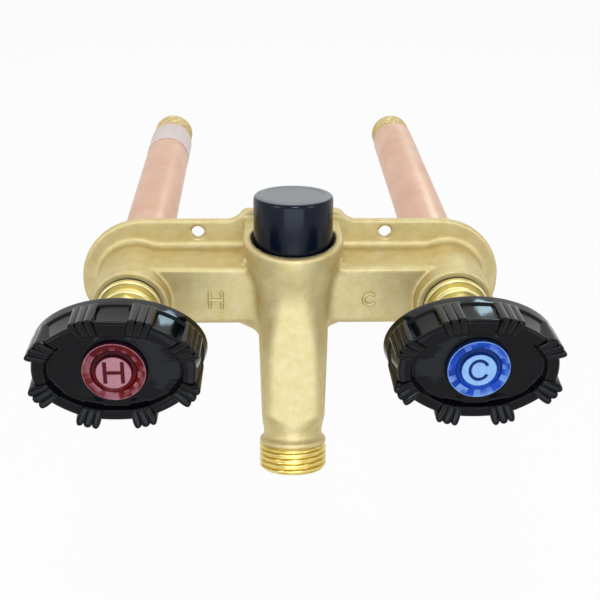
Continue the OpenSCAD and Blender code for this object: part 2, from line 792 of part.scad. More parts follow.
module vent_gasket() {
    color(black_rubber) up_vent() translate([0, 0, collar_floor_h]) difference() {
        cylinder(r = collar_bore_r - free_gap, h = vent_gasket_t);
        translate([0, 0, -overrun]) cylinder(r = float_bore_r + fit_gap, h = vent_gasket_t + 2 * overrun);
    }
}

module vent_cap() {
    e = cap_edge_r;
    r = cap_d / 2;
    socket_r = insert_post_d / 2 + fit_gap;
    sleeve_r = socket_r + cap_socket_wall;
    color(black_plastic) up_vent() rotate_extrude() difference() {
        union() {
            translate([0, cap_low_h]) square([r, cap_len - e]);
            translate([0, cap_low_h]) square([r - e, cap_len]);
            translate([r - e, cap_top_h - e]) circle(e);
        }
        translate([sleeve_r, cap_open_h]) square([r - cap_wall - sleeve_r, cap_ceiling_h - cap_open_h]);
        translate([0, cap_open_h]) square([socket_r, cap_ceiling_h - cap_open_h]);
        translate([0, cap_open_h]) square([sleeve_r + eps, cap_ceiling_h - cap_socket_len - cap_open_h]);
    }
}

module vent_float() {
    fin_r = riser_r - free_gap;
    color(white_plastic) up_vent() {
        translate([0, 0, float_seat_h]) cylinder(r = float_r, h = float_t);
        intersection() {
            translate([0, 0, float_seat_h - float_fin_len]) cylinder(r = fin_r, h = float_fin_len + overrun);
            for (turn = [45, 135])
                rotate([0, 0, turn]) translate([-fin_r, -float_fin_t / 2, float_seat_h - float_fin_len])
                    cube([2 * fin_r, float_fin_t, float_fin_len + overrun]);
        }
    }
}

module float_seal() {
    color(black_rubber) up_vent() translate([0, 0, float_seat_h + float_t])
        cylinder(r = float_r, h = float_seal_t);
}

module tube(side) {
    color(copper) sleeve(side, tube_r, tube_bore_r, -tube_socket, tube_reach);
}

module tube_band(side) {
    band_r = tube_r + fit_gap;
    band_end_y = tube_reach - band_setback;
    color(paper) sleeve(side, band_r + band_t, band_r, band_end_y - band_len, band_end_y);
}

module inlet(side) {
    r = inlet_thread_d / 2;
    spigot_r = tube_bore_r - fit_gap;
    seat_r = seat_bore_d / 2;
    color(turned_brass) turned(side, concat(
        [[seat_r, seat_y], [seat_r + seat_lip_w, seat_y], [seat_r + seat_lip_w, spigot_y],
            [spigot_r, spigot_y], [spigot_r, tube_reach], [r, tube_reach]],
        ring_thread(r, inlet_thread_depth, inlet_pitch, inlet_thread_y, inlet_turns),
        [[r - inlet_chamfer, inlet_end_y], [inlet_socket_d / 2, inlet_end_y],
            [inlet_socket_d / 2, inlet_end_y - inlet_socket_len], [seat_r, inlet_end_y - inlet_socket_len]]
    ));
}

module bonnet_gasket(side) {
    color(black_rubber)
        sleeve(side, bonnet_ring_d / 2, bonnet_tail_d / 2 + fit_gap, ring_back_y, boss_y);
}

module bonnet(side) {
    ring_r = bonnet_ring_d / 2;
    waist_r = bonnet_waist_d / 2;
    collar_front_r = bonnet_collar_d / 2;
    tail_r = bonnet_tail_d / 2;
    nose_r = bonnet_nose_d / 2;
    chamber_r = packing_d / 2;
    thread_r = screw_r + run_gap;
    rod_r = stem_r + run_gap;
    color(turned_brass) turned(side, [
        [thread_r, bonnet_tail_y], [tail_r, bonnet_tail_y], [tail_r, ring_back_y], [ring_r, ring_back_y],
        [ring_r, ring_front_y], [waist_r, ring_front_y], [waist_r, bonnet_collar_y],
        [collar_front_r, bonnet_collar_y], [collar_front_r, nose_y], [nose_r, nose_y], [nose_r, nose_end_y],
        [chamber_r, nose_end_y], [chamber_r, packing_y], [rod_r, packing_y], [rod_r, stop_y],
        [thread_r, stop_y]
    ]);
}

module packing(side) {
    color(white_plastic)
        sleeve(side, packing_d / 2 - fit_gap, stem_r + run_gap, washer_ring_y, packing_y);
}

module packing_washer(side) {
    color(turned_brass)
        sleeve(side, packing_d / 2 - fit_gap, stem_r + run_gap, gland_y, washer_ring_y);
}

module packing_nut(side) {
    gland_r = packing_d / 2 - fit_gap;
    color(turned_brass) difference() {
        on_stem(side) translate([0, 0, nut_front_y]) rotate([0, 0, 30])
            cylinder(d = nut_flats / cos(30), h = nut_back_y - nut_front_y, $fn = 6);
        difference() {
            stem_hole(side, bonnet_nose_d / 2 + fit_gap, nut_inside_y, nut_back_y + overrun);
            stem_hole(side, gland_r, nut_inside_y - overrun, gland_y);
        }
        stem_hole(side, stem_r + run_gap, nut_front_y - overrun, nut_back_y + overrun);
    }
}

module washer_holder(side) {
    r = holder_d / 2;
    core_r = r - holder_chamfer;
    cup = seat_washer_d / 2 + fit_gap;
    neck_r = swivel_neck_d / 2 + run_gap;
    head_r = swivel_head_d / 2 + run_gap;
    hole_r = washer_screw_d / 2 + fit_gap;
    fin_r = tube_bore_r - free_gap;
    color(turned_brass) {
        turned(side, [
            [neck_r, holder_y], [core_r, holder_y], [r, holder_y + holder_chamfer],
            [r, washer_y + washer_cup], [cup, washer_y + washer_cup], [cup, washer_y], [hole_r, washer_y],
            [hole_r, holder_hole_y], [0, holder_hole_y], [0, head_end_y], [head_r, head_end_y],
            [head_r, head_y - run_gap], [neck_r, head_y - run_gap]
        ]);
        on_stem(side) difference() {
            intersection() {
                translate([0, 0, guide_fin_y]) cylinder(r = fin_r, h = guide_fin_len);
                for (turn = [0, 90])
                    rotate([0, 0, turn]) translate([-fin_r, -guide_fin_t / 2, guide_fin_y])
                        cube([2 * fin_r, guide_fin_t, guide_fin_len]);
            }
            translate([0, 0, holder_y]) cylinder(r = core_r, h = guide_fin_len + 2 * guide_fin_setback);
        }
    }
}

module seat_washer(side) {
    color(black_rubber)
        sleeve(side, seat_washer_d / 2, washer_screw_d / 2 + fit_gap, washer_y, seat_y);
}

module washer_screw(side) {
    tip_y = holder_hole_y + free_gap;
    top_y = seat_y + washer_screw_head_h;
    color(turned_brass) turned(side, [
        [0, tip_y], [washer_screw_d / 2, tip_y], [washer_screw_d / 2, seat_y],
        [washer_screw_head_d / 2, seat_y], [washer_screw_head_d / 2 - head_taper, top_y], [0, top_y]
    ]);
}

module stem(side) {
    color(turned_brass) {
        turned(side, [
            [0, hub_y], [stem_r, hub_y], [stem_r, screw_front_y], [screw_r, screw_front_y + screw_chamfer],
            [screw_r, screw_back_y - screw_chamfer], [stem_r, screw_back_y], [stem_r, holder_y - run_gap],
            [swivel_neck_d / 2, holder_y - run_gap], [swivel_neck_d / 2, head_y],
            [swivel_head_d / 2, head_y], [swivel_head_d / 2, head_y + swivel_head_len],
            [0, head_y + swivel_head_len]
        ]);
        difference() {
            on_stem(side) translate([-square_side / 2, -square_side / 2, stem_end_y])
                cube([square_side, square_side, hub_y - stem_end_y + eps]);
            stem_hole(side, handle_screw_d / 2 + fit_gap, stem_end_y - overrun, screw_tip_y + overrun);
        }
    }
}

// Shell of the handle: nine elliptical rings joined into one closed band round the hub
module handle_shell() {
    inner_hub = 2 * (cup_r + cup_wall / 2);
    rings = [
        shell_ring(handle_back_w, handle_back_h, skirt_y),
        inset_ring(0, rim_y + rim_round_t, rib_proud, rib_over),
        inset_ring(rim_round_w, rim_y, rib_proud * rib_rim_share, rib_over),
        inset_ring(rim_face_w, rim_y + rim_face_fall, 0, rib_over),
        shell_ring(bowl_w, bowl_h, bowl_y),
        shell_ring(inner_hub, inner_hub, bowl_y),
        shell_ring(inner_hub, inner_hub, bowl_back_y),
        inset_ring(skirt_slant * handle_wall, bowl_back_y),
        shell_ring(handle_back_w - 2 * handle_wall, handle_back_h - 2 * handle_wall, skirt_y)
    ];
    n = len(rim_stations);
    m = len(rings);
    polyhedron(
        points = [for (ring = rings) each ring],
        faces = [
            for (j = [0 : m - 1], i = [0 : n - 1])
                let (
                    next_i = (i + 1) % n,
                    next_j = (j + 1) % m,
                    a = j * n + i,
                    b = j * n + next_i,
                    c = next_j * n + next_i,
                    d = next_j * n + i
                )
                each [[a, c, b], [a, d, c]]
        ],
        convexity = 6
    );
}

module handle(side) {
    square_gap = square_side + 2 * fit_gap;
    color(black_enamel) difference() {
        union() {
            translate([side * stem_x, 0, 0]) handle_shell();
            turned(side, [
                [0, hub_y], [hub_d / 2, hub_y], [hub_d / 2, cup_back_y], [cup_outer_r, cup_back_y],
                [cup_outer_r, cup_rim_y], [cup_r, cup_rim_y], [cup_r, cup_floor_y], [0, cup_floor_y]
            ]);
        }
        on_stem(side) translate([-square_gap / 2, -square_gap / 2, cup_floor_y - overrun])
            cube([square_gap, square_gap, hub_y - cup_floor_y + 2 * overrun]);
    }
}

module handle_screw(side) {
    r = handle_screw_d / 2;
    head_r = handle_screw_head_d / 2;
    color(steel) turned(side, [
        [0, screw_tip_y], [r, screw_tip_y], [r, cup_floor_y], [head_r, cup_floor_y],
        [head_r, cup_floor_y - handle_screw_head_h / 2], [head_r - head_taper, screw_head_y],
        [0, screw_head_y]
    ]);
}

module button(side, shade) {
    disc_r = button_disc_d / 2;
    groove_r = disc_r + button_groove_w;
    groove_y = button_front_y + button_groove_t;
    disc_y = button_front_y + button_disc_drop;
    color(shade) turned(side, [
        [0, button_back_y], [button_r, button_back_y], [button_r, button_front_y + button_edge],
        [button_r - button_edge, button_front_y], [groove_r, button_front_y], [groove_r, groove_y],
        [disc_r, groove_y], [disc_r, disc_y], [0, disc_y]
    ]);
}

valve_body();
vent_insert();
vent_gasket();
vent_cap();
vent_float();
float_seal();
tube(hot);  // hot_tube
tube_band(hot);  // hot_tube_band
inlet(hot);  // hot_inlet
bonnet_gasket(hot);  // hot_bonnet_gasket
bonnet(hot);  // hot_bonnet
packing(hot);  // hot_packing
packing_washer(hot);  // hot_packing_washer
packing_nut(hot);  // hot_packing_nut
washer_holder(hot);  // hot_washer_holder
seat_washer(hot);  // hot_seat_washer
washer_screw(hot);  // hot_washer_screw
stem(hot);  // hot_stem
handle(hot);  // hot_handle
handle_screw(hot);  // hot_handle_screw
button(hot, red_plastic);  // hot_button
tube(cold);  // cold_tube
inlet(cold);  // cold_inlet
bonnet_gasket(cold);  // cold_bonnet_gasket
bonnet(cold);  // cold_bonnet
packing(cold);  // cold_packing
packing_washer(cold);  // cold_packing_washer
packing_nut(cold);  // cold_packing_nut
washer_holder(cold);  // cold_washer_holder
seat_washer(cold);  // cold_seat_washer
washer_screw(cold);  // cold_washer_screw
stem(cold);  // cold_stem
handle(cold);  // cold_handle
handle_screw(cold);  // cold_handle_screw
button(cold, blue_plastic);  // cold_button
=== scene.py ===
"""Looks of a two-handle frost-free wall faucet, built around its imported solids.

Every class keeps its lengths in millimetres, and only meshes, lamps and camera are in metres. The frame is
the part's own: the wall plane is Y = 0, +X is right seen from the front, +Y goes into the wall and +Z is up.
Hot is on the left. The last column of a table of corners is each corner's rounding.
"""

import logging
import math
from collections.abc import Callable, Sequence
from dataclasses import dataclass
from enum import Enum

import bpy
import numpy as np
from mathutils import Matrix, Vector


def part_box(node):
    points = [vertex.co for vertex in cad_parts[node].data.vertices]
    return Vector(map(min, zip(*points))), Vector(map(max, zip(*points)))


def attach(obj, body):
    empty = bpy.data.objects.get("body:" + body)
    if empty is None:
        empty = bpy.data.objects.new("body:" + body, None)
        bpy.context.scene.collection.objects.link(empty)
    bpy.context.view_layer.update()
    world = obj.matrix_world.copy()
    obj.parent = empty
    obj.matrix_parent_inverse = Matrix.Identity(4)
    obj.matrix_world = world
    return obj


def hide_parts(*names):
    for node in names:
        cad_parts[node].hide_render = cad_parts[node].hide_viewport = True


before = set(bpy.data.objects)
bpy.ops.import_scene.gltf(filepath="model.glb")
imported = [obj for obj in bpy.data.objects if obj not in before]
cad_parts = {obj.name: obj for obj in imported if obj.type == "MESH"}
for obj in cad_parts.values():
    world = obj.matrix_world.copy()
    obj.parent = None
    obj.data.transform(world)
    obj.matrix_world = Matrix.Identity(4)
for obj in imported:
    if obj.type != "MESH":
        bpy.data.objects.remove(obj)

Array = np.ndarray
Place = tuple[Array, Array, Array]
Tree = bpy.types.NodeTree
Node = bpy.types.Node
Socket = bpy.types.NodeSocket
LOG = logging.getLogger("wall_faucet")
MM = 0.001
WELD_MM = 1e-5
COLUMN_M = (0.0, -0.03, 0.0)
TURN = 2 * math.pi
LATHE_STEPS = 144
SETTLE_ROUNDS = 3
SETTLE_PROBE_MM = 0.02
SETTLE_REACH = 0.6
LEAST_SLOPE = 0.2
# A noise seldom leaves the middle of its range, so the middle is spread over what it drives.
TINT_SPAN = {1: 0.25, 2: 0.75}
DULL_SPAN = {1: 0.3, 2: 0.7}
METAL = {"Metallic": 1.0}


class Side(Enum):
    """The two valves, with the side of the middle that each lies on."""

    HOT = -1
    COLD = 1

    def node(self, name: str) -> str:
        """Name of this side's CAD node or body."""
        return f"{self.name.lower()}_{name}"


@dataclass
class Skin:
    """A closed surface: points in mm, faces of three or four corners, and a tone for each point."""

    points: Array
    faces: list[list[int]]
    tones: Array


@dataclass(frozen=True)
class Axis:
    """A line in the middle plane or beside it that turned shapes are spun about."""

    origin: tuple[float, float, float]
    along: tuple[float, float, float]

    def place(self, radius: Array, turn: Array, height: Array) -> Array:
        """Carries cylinder coordinates into the frame.

        A point is the origin, plus its height along the axis, plus its radius times the turn's cosine towards
        +X and the turn's sine towards the third direction.

        Args:
            radius: distances from the axis.
            turn: angles from +X, in radians.
            height: distances along the axis.

        Returns:
            Points in mm, with one more dimension than the broadcast arguments.
        """
        along = np.array(self.along)
        across = np.array((1.0, 0.0, 0.0))
        third = np.cross(along, across)
        radius, turn, height = np.broadcast_arrays(radius, turn, height)
        spoke = np.cos(turn)[..., None] * across + np.sin(turn)[..., None] * third
        return np.array(self.origin) + height[..., None] * along + radius[..., None] * spoke


def leaning(origin: tuple[float, float, float], lean_deg: float, upward: bool) -> Axis:
    """Makes an axis in the middle plane that leans from the vertical.

    Args:
        origin: a point on the axis.
        lean_deg: lean towards the wall on the way up.
        upward: whether heights grow upwards.

    Returns:
        The axis.
    """
    lean = math.radians(lean_deg)
    sign = 1.0 if upward else -1.0
    return Axis(origin, (0.0, sign * math.sin(lean), sign * math.cos(lean)))


def node_box(node: str) -> tuple[Array, Array]:
    """Lowest and highest corner of a CAD node, in mm."""
    low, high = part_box(node)
    return np.array(low) / MM, np.array(high) / MM


def bar_axis(node: str) -> Axis:
    """Axis into the wall at the stems' height, through the middle of a CAD node's width."""
    low, high = node_box(node)
    return Axis(((low[0] + high[0]) / 2, 0.0, 0.0), (0.0, 1.0, 0.0))


def outward(points: Array, quads: Array) -> Array:
    """Turns faces outwards: the volume that they enclose has to come out positive.

    Args:
        points: points in mm.
        quads: corner numbers, four to a face, with the last corner repeated on a triangle.

    Returns:
        The faces, all reversed if the volume was negative.
    """
    a, b, c, d = (points[quads[:, i]] for i in range(4))
    volume = np.einsum("ij,ij->", a, np.cross(b, c)) + np.einsum("ij,ij->", a, np.cross(c, d))
    return quads if volume > 0 else quads[:, ::-1]


def weld(points: Array, quads: Array, tones: Array) -> Skin:
    """Merges points that fall together and drops the faces that vanish.

    Args:
        points: points in mm.
        quads: corner numbers, four to a face.
        tones: one value for each point.

    Returns:
        A closed skin whose faces point outwards.
    """
    keys = np.round(points / WELD_MM).astype(np.int64)
    _, first, merged = np.unique(keys, axis=0, return_index=True, return_inverse=True)
    points = points[first]
    quads = outward(points, merged.reshape(-1)[quads])
    repeats = quads == np.roll(quads, -1, axis=1)
    crossed = (quads[:, 0] == quads[:, 2]) | (quads[:, 1] == quads[:, 3])
    whole = quads[~repeats.any(axis=1) & ~crossed]
    pinched = (repeats.sum(axis=1) == 1) & ~crossed
    corners = quads[pinched][~repeats[pinched]].reshape(-1, 3)
    return Skin(points, whole.tolist() + corners.tolist(), tones[first])


def grid_skin(grid: Array, tones: Array | None = None) -> Skin:
    """Closes a grid of points both ways into one skin.

    Point (i, j) joins points (i + 1, j) and (i, j + 1), and the last row and column join the first.

    Args:
        grid: points in mm, rows by columns by three.
        tones: one value for each point, or none for zero all over.

    Returns:
        The closed skin.
    """
    rows, cols = grid.shape[:2]
    index = np.arange(rows * cols).reshape(rows, cols)
    after = np.roll(index, -1, axis=0)
    quads = np.stack([index, after, np.roll(after, -1, axis=1), np.roll(index, -1, axis=1)], axis=-1)
    values = np.zeros(rows * cols) if tones is None else tones.reshape(-1)
    return weld(grid.reshape(-1, 3), quads.reshape(-1, 4), values)


def joined(skins: Sequence[Skin]) -> Skin:
    """Puts several skins into one.

    Args:
        skins: the skins, which may run into each other.

    Returns:
        One skin with all their points and faces.
    """
    starts = np.cumsum([0] + [len(skin.points) for skin in skins])
    faces = [[corner + int(start) for corner in face]
             for skin, start in zip(skins, starts) for face in skin.faces]
    return Skin(np.concatenate([s.points for s in skins]), faces, np.concatenate([s.tones for s in skins]))


def rounded(corners: Array, radii: Array, steps: int = 5) -> Array:
    """Rounds each corner of a closed outline.

    A corner P becomes a parabola from P + r u to P + r v, where u and v point to its neighbours: the sum of
    (1 - t)^2 of the first, 2 t (1 - t) of P and t^2 of the second.

    Args:
        corners: the outline's corners, in any number of coordinates.
        radii: how far each corner is cut back.
        steps: steps along each rounding.

    Returns:
        The points of the rounded outline.
    """
    back = np.roll(corners, 1, axis=0) - corners
    ahead = np.roll(corners, -1, axis=0) - corners
    cut = np.asarray(radii, float)[:, None]
    start = corners + back / np.linalg.norm(back, axis=1, keepdims=True) * cut
    end = corners + ahead / np.linalg.norm(ahead, axis=1, keepdims=True) * cut
    t = np.linspace(0, 1, steps + 1)[None, :, None]
    curve = (1 - t) ** 2 * start[:, None] + 2 * t * (1 - t) * corners[:, None] + t**2 * end[:, None]
    return curve.reshape(-1, corners.shape[1])


def turned(axis: Axis, profile: Sequence[tuple[float, float, float]], segments: int = 112) -> Skin:
    """Spins a closed profile about an axis.

    Point (i, j) lies at turn i of the circle, at the radius and height of profile point j.

    Args:
        axis: the axis to spin about.
        profile: corners as radius, height and rounding.
        segments: steps around the axis.

    Returns:
        The turned skin, with each point's height in metres as its tone.
    """
    table = np.array(profile, float)
    outline = rounded(table[:, :2], table[:, 2])
    turn = np.linspace(0, TURN, segments, endpoint=False)[:, None]
    height = np.broadcast_to(outline[None, :, 1], (segments, len(outline)))
    return grid_skin(axis.place(outline[None, :, 0], turn, height), height * MM)


def smooth_step(value: Array) -> Array:
    """Rises smoothly from 0 to 1 as the value goes from 0 to 1."""
    t = np.clip(value, 0, 1)
    return t * t * (3 - 2 * t)


@dataclass(frozen=True)
class ScrewThread:
    """A right-handed thread cut in a turned bar, with the plain bar's outline around it."""

    crest_r: float
    depth: float
    pitch: float
    start: float
    end: float
    bore: Sequence[tuple[float, float]]
    rows_per_turn: int = 12
    crest_share: float = 0.3
    flank_share: float = 0.4
    run_in: float = 0.4

    def skin(self, axis: Axis, envelope: Sequence[tuple[float, float]], segments: int = LATHE_STEPS) -> Skin:
        """Winds the thread.

        At height h and turn a the radius is the crest radius less the depth times the groove, where the
        groove follows the fraction of h / pitch - a / full turn, and never more than the envelope at h. The
        loop closes down the bore.

        Args:
            axis: the bar's axis.
            envelope: the bar's outline as radius and height, rising in height.
            segments: steps around the bar.

        Returns:
            The threaded skin.
        """
        edge = np.array(envelope, float)
        rows = int((self.end - self.start) / self.pitch * self.rows_per_turn)
        height = np.union1d(np.linspace(self.start, self.end, rows), edge[:, 1])
        limit = np.interp(height, edge[:, 1], edge[:, 0])
        turn = np.linspace(0, TURN, segments, endpoint=False)[:, None]
        phase = np.mod((height[None] - self.start) / self.pitch - turn / TURN, 1.0)
        groove = smooth_step((1 - 2 * np.abs(phase - 0.5) - self.crest_share) / self.flank_share)
        ramp = smooth_step((height - self.start) / (self.run_in * self.pitch)) * (height < self.end)
        radius = np.minimum(limit[None], self.crest_r - self.depth * groove * ramp[None])
        radius = np.where((height < self.start) | (height > self.end), limit, radius)
        bore = np.array(self.bore, float)
        radius = np.concatenate([radius, np.broadcast_to(bore[None, :, 0], (segments, len(bore)))], axis=1)
        height = np.concatenate([height, bore[:, 1]])
        height = np.broadcast_to(height[None], radius.shape)
        return grid_skin(axis.place(radius, turn, height), height * MM)


def round_union(a: Array, b: Array, r: float) -> Array:
    """Joins two distance fields with a fillet of radius r where they meet."""
    corner = np.hypot(np.maximum(r - a, 0), np.maximum(r - b, 0))
    return np.maximum(r, np.minimum(a, b)) - corner


def round_overlap(a: Array, b: Array, r: float) -> Array:
    """Keeps what two distance fields share, with its edge rounded to radius r."""
    corner = np.hypot(np.maximum(r + a, 0), np.maximum(r + b, 0))
    return np.minimum(-r, np.maximum(a, b)) + corner


def round_rectangle(a: Array, b: Array, half_a: Array, half_b: Array, corner: Array | float) -> Array:
    """Distance to a rectangle with round corners.

    Args:
        a: first coordinates, from its middle.
        b: second coordinates, from its middle.
        half_a: half its length along the first.
        half_b: half its length along the second.
        corner: radius of its corners.

    Returns:
        Distances, negative inside.
    """
    side_a = np.abs(a) - half_a + corner
    side_b = np.abs(b) - half_b + corner
    beyond = np.hypot(np.maximum(side_a, 0), np.maximum(side_b, 0))
    return beyond + np.minimum(np.maximum(side_a, side_b), 0) - corner


Field = Callable[[Array, Array, Array], Array]


def settle(field: Field, points: Array, reach: float) -> Array:
    """Moves points onto the surface where a distance field is zero.

    Each step takes a point down the field's slope by the distance over the slope squared.

    Args:
        field: the distance field, in mm.
        points: points near the surface.
        reach: the farthest that one step may go.

    Returns:
        The moved points.
    """
    probes = SETTLE_PROBE_MM * np.eye(3)
    for _ in range(SETTLE_ROUNDS):
        value = field(*points.T)
        slope = np.stack([field(*(points + e).T) - field(*(points - e).T) for e in probes], axis=-1)
        slope /= 2 * SETTLE_PROBE_MM
        step = value[:, None] * slope / np.maximum((slope**2).sum(axis=1, keepdims=True), LEAST_SLOPE)
        points = points - np.clip(step, -reach, reach)
    return points


def surface_net(field: Field, low: Sequence[float], high: Sequence[float], step: float) -> Skin:
    """Skins the zero surface of a distance field.

    Each cell of a cubic grid that the surface crosses holds one point, the mean of the crossings of its
    edges, moved onto the surface. Each grid edge that the surface crosses makes a face of the four cells
    around it.

    Args:
        field: the distance field, in mm, negative inside.
        low: lowest corner of the grid.
        high: highest corner of the grid.
        step: side of a cell.

    Returns:
        The closed skin.
    """
    axes = [np.arange(a, b + step, step) for a, b in zip(low, high)]
    value = field(*np.meshgrid(*axes, indexing="ij", sparse=True))
    inside = value < 0
    corners = np.array(np.meshgrid((0, 1), (0, 1), (0, 1), indexing="ij")).reshape(3, -1).T
    spans = np.array(value.shape) - 1
    filled = sum(inside[i:i + spans[0], j:j + spans[1], k:k + spans[2]].astype(np.int8)
                 for i, j, k in corners)
    crossed = (filled > 0) & (filled < len(corners))
    cells = np.argwhere(crossed)
    number = np.full(tuple(spans), -1)
    number[crossed] = np.arange(len(cells))
    total = np.zeros((len(cells), 3))
    hits = np.zeros((len(cells), 1))
    for a in corners:
        for b in a + np.eye(3, dtype=int)[a == 0]:
            at_a = value[tuple((cells + a).T)]
            at_b = value[tuple((cells + b).T)]
            cut = ((at_a < 0) != (at_b < 0))[:, None]
            share = np.where(cut, at_a[:, None] / np.where(cut, (at_a - at_b)[:, None], 1), 0)
            total += cut * (a + (b - a) * share)
            hits += cut
    points = settle(field, np.array(low) + (cells + total / hits) * step, SETTLE_REACH * step)
    quads = []
    for axis in range(3):
        u, v = np.eye(3, dtype=int)[[(axis + 1) % 3, (axis + 2) % 3]]
        here = np.take(inside, range(spans[axis]), axis)
        edges = np.argwhere(here != np.take(inside, range(1, spans[axis] + 1), axis))
        edges = edges[((edges >= u + v) & (edges < spans)).all(axis=1)]
        ring = np.stack([number[tuple((edges - d).T)] for d in (u + v, v, 0 * u, u)], axis=-1)
        solid_first = here[tuple(edges.T)]
        quads.append(np.where(solid_first[:, None], ring, ring[:, ::-1]))
    return weld(points, np.concatenate(quads), np.zeros(len(points)))


def srgb(code: str) -> tuple[float, float, float, float]:
    """Turns a colour code into the linear values that a shader takes.

    Args:
        code: an sRGB colour such as #C8B070.

    Returns:
        Linear red, green and blue, and an alpha of one.
    """
    share = [int(code[i:i + 2], 16) / 255 for i in (1, 3, 5)]
    red, green, blue = (c / 12.92 if c <= 0.04045 else ((c + 0.055) / 1.055) ** 2.4 for c in share)
    return red, green, blue, 1.0


def per_metre(size_mm: float) -> float:
    """Scale of a noise whose features are about this size."""
    return 1 / (size_mm * MM)


def add_node(tree: Tree, kind: str, inputs: dict | None = None, **settings: object) -> Node:
    """Adds one shader node.

    Args:
        tree: the material's or world's nodes.
        kind: the node's type name.
        inputs: a value, or an output to link, for each input by its name or number.
        settings: the node's own properties.

    Returns:
        The new node.
    """
    node = tree.nodes.new(kind)
    for name, value in settings.items():
        setattr(node, name, value)
    for key, value in (inputs or {}).items():
        if isinstance(value, Socket):
            tree.links.new(value, node.inputs[key])
        else:
            node.inputs[key].default_value = value
    return node


def bare_tree(owner: bpy.types.Material | bpy.types.World) -> Tree:
    """Empties the nodes of a new material or world.

    Args:
        owner: the material or world.

    Returns:
        Its empty nodes.
    """
    owner.use_nodes = True
    owner.node_tree.nodes.clear()
    return owner.node_tree


@dataclass(frozen=True)
class Finish:
    """A surface finish, which makes its material the first time that it is asked for."""

    label: str

    def shader(self, tree: Tree, place: Socket) -> Node:
        """Wires the finish's shader, which each finish does in its own way."""
        raise NotImplementedError

    def material(self) -> bpy.types.Material:
        """Gives the finish's material, made on first use.

        Returns:
            The material, the same one each time.
        """
        known = bpy.data.materials.get(self.label)
        if known is not None:
            return known
        made = bpy.data.materials.new(self.label)
        tree = bare_tree(made)
        place = add_node(tree, "ShaderNodeTexCoord").outputs["Object"]
        shader = self.shader(tree, place)
        add_node(tree, "ShaderNodeOutputMaterial", {"Surface": shader.outputs[0]})
        return made


@dataclass(frozen=True)
class TwoTone(Finish):
    """A finish of two near tints with a fine relief."""

    tints: tuple[str, str] = ("#FFFFFF", "#FFFFFF")
    relief_mm: float = 0.02

    def coat(self, tree: Tree, share: Socket, rough: Socket | float, relief: Socket, more: dict) -> Node:
        """Wires what these finishes have in common: two tints mixed, a bump, and the shader over them.

        Args:
            tree: the material's nodes.
            share: how much of the second tint shows.
            rough: the roughness.
            relief: the height of the bump, as a share of the relief.
            more: further inputs of the shader, by name.

        Returns:
            The shader.
        """
        first, second = self.tints
        tint = add_node(tree, "ShaderNodeMix", {0: share, 6: srgb(first), 7: srgb(second)}, data_type="RGBA")
        bump = add_node(tree, "ShaderNodeBump", {"Height": relief, "Distance": self.relief_mm * MM})
        inputs = {"Base Color": tint.outputs[2], "Roughness": rough, "Normal": bump.outputs[0]}
        return add_node(tree, "ShaderNodeBsdfPrincipled", inputs | more)


@dataclass(frozen=True)
class SandCastBrass(TwoTone):
    """Yellow brass as cast in sand and tumbled: satin, finely pitted, with pale and warm patches."""

    tints: tuple[str, str] = ("#D1C498", "#C3B17A")
    relief_mm: float = 0.05
    patch_mm: float = 5.0
    patch_rough: float = 0.65
    grain_mm: float = 0.55
    grain_rough: float = 0.6
    rough: tuple[float, float] = (0.48, 0.62)

    def shader(self, tree: Tree, place: Socket) -> Node:
        """Patches tint the metal, and the grain both roughens and dimples it.

        Args:
            tree: the material's nodes.
            place: coordinates on the object.

        Returns:
            The shader.
        """
        patch = add_node(tree, "ShaderNodeTexNoise", {"Vector": place, "Scale": per_metre(self.patch_mm),
                                                      "Detail": 4.0, "Roughness": self.patch_rough})
        grain = add_node(tree, "ShaderNodeTexNoise", {"Vector": place, "Scale": per_metre(self.grain_mm),
                                                      "Detail": 3.0, "Roughness": self.grain_rough})
        share = add_node(tree, "ShaderNodeMapRange", {0: patch.outputs[0], **TINT_SPAN})
        dull = add_node(tree, "ShaderNodeMapRange",
                        {0: grain.outputs[0], **DULL_SPAN, 3: self.rough[0], 4: self.rough[1]})
        return self.coat(tree, share.outputs[0], dull.outputs[0], grain.outputs[0], METAL)


@dataclass(frozen=True)
class TurnedBrass(TwoTone):
    """Free-cutting brass from the lathe: bright and yellow, with fine rings left by the tool."""

    tints: tuple[str, str] = ("#EFE6B4", "#E2D48E")
    relief_mm: float = 0.012
    ring_mm: float = 0.3
    stain_mm: float = 6.0
    rough: tuple[float, float] = (0.32, 0.44)

    def shader(self, tree: Tree, place: Socket) -> Node:
        """Rings follow the tone, which holds the height along the lathe's axis, and stains dull the metal.

        Args:
            tree: the material's nodes.
            place: coordinates on the object.

        Returns:
            The shader.
        """
        height = add_node(tree, "ShaderNodeAttribute", attribute_name="tone").outputs["Fac"]
        rings = add_node(tree, "ShaderNodeTexNoise", {"W": height, "Scale": per_metre(self.ring_mm),
                                                      "Detail": 2.0}, noise_dimensions="1D")
        stain = add_node(tree, "ShaderNodeTexNoise",
                         {"Vector": place, "Scale": per_metre(self.stain_mm), "Detail": 3.0})
        dull = add_node(tree, "ShaderNodeMapRange",
                        {0: stain.outputs[0], **DULL_SPAN, 3: self.rough[0], 4: self.rough[1]})
        return self.coat(tree, stain.outputs[0], dull.outputs[0], rings.outputs[0], METAL)


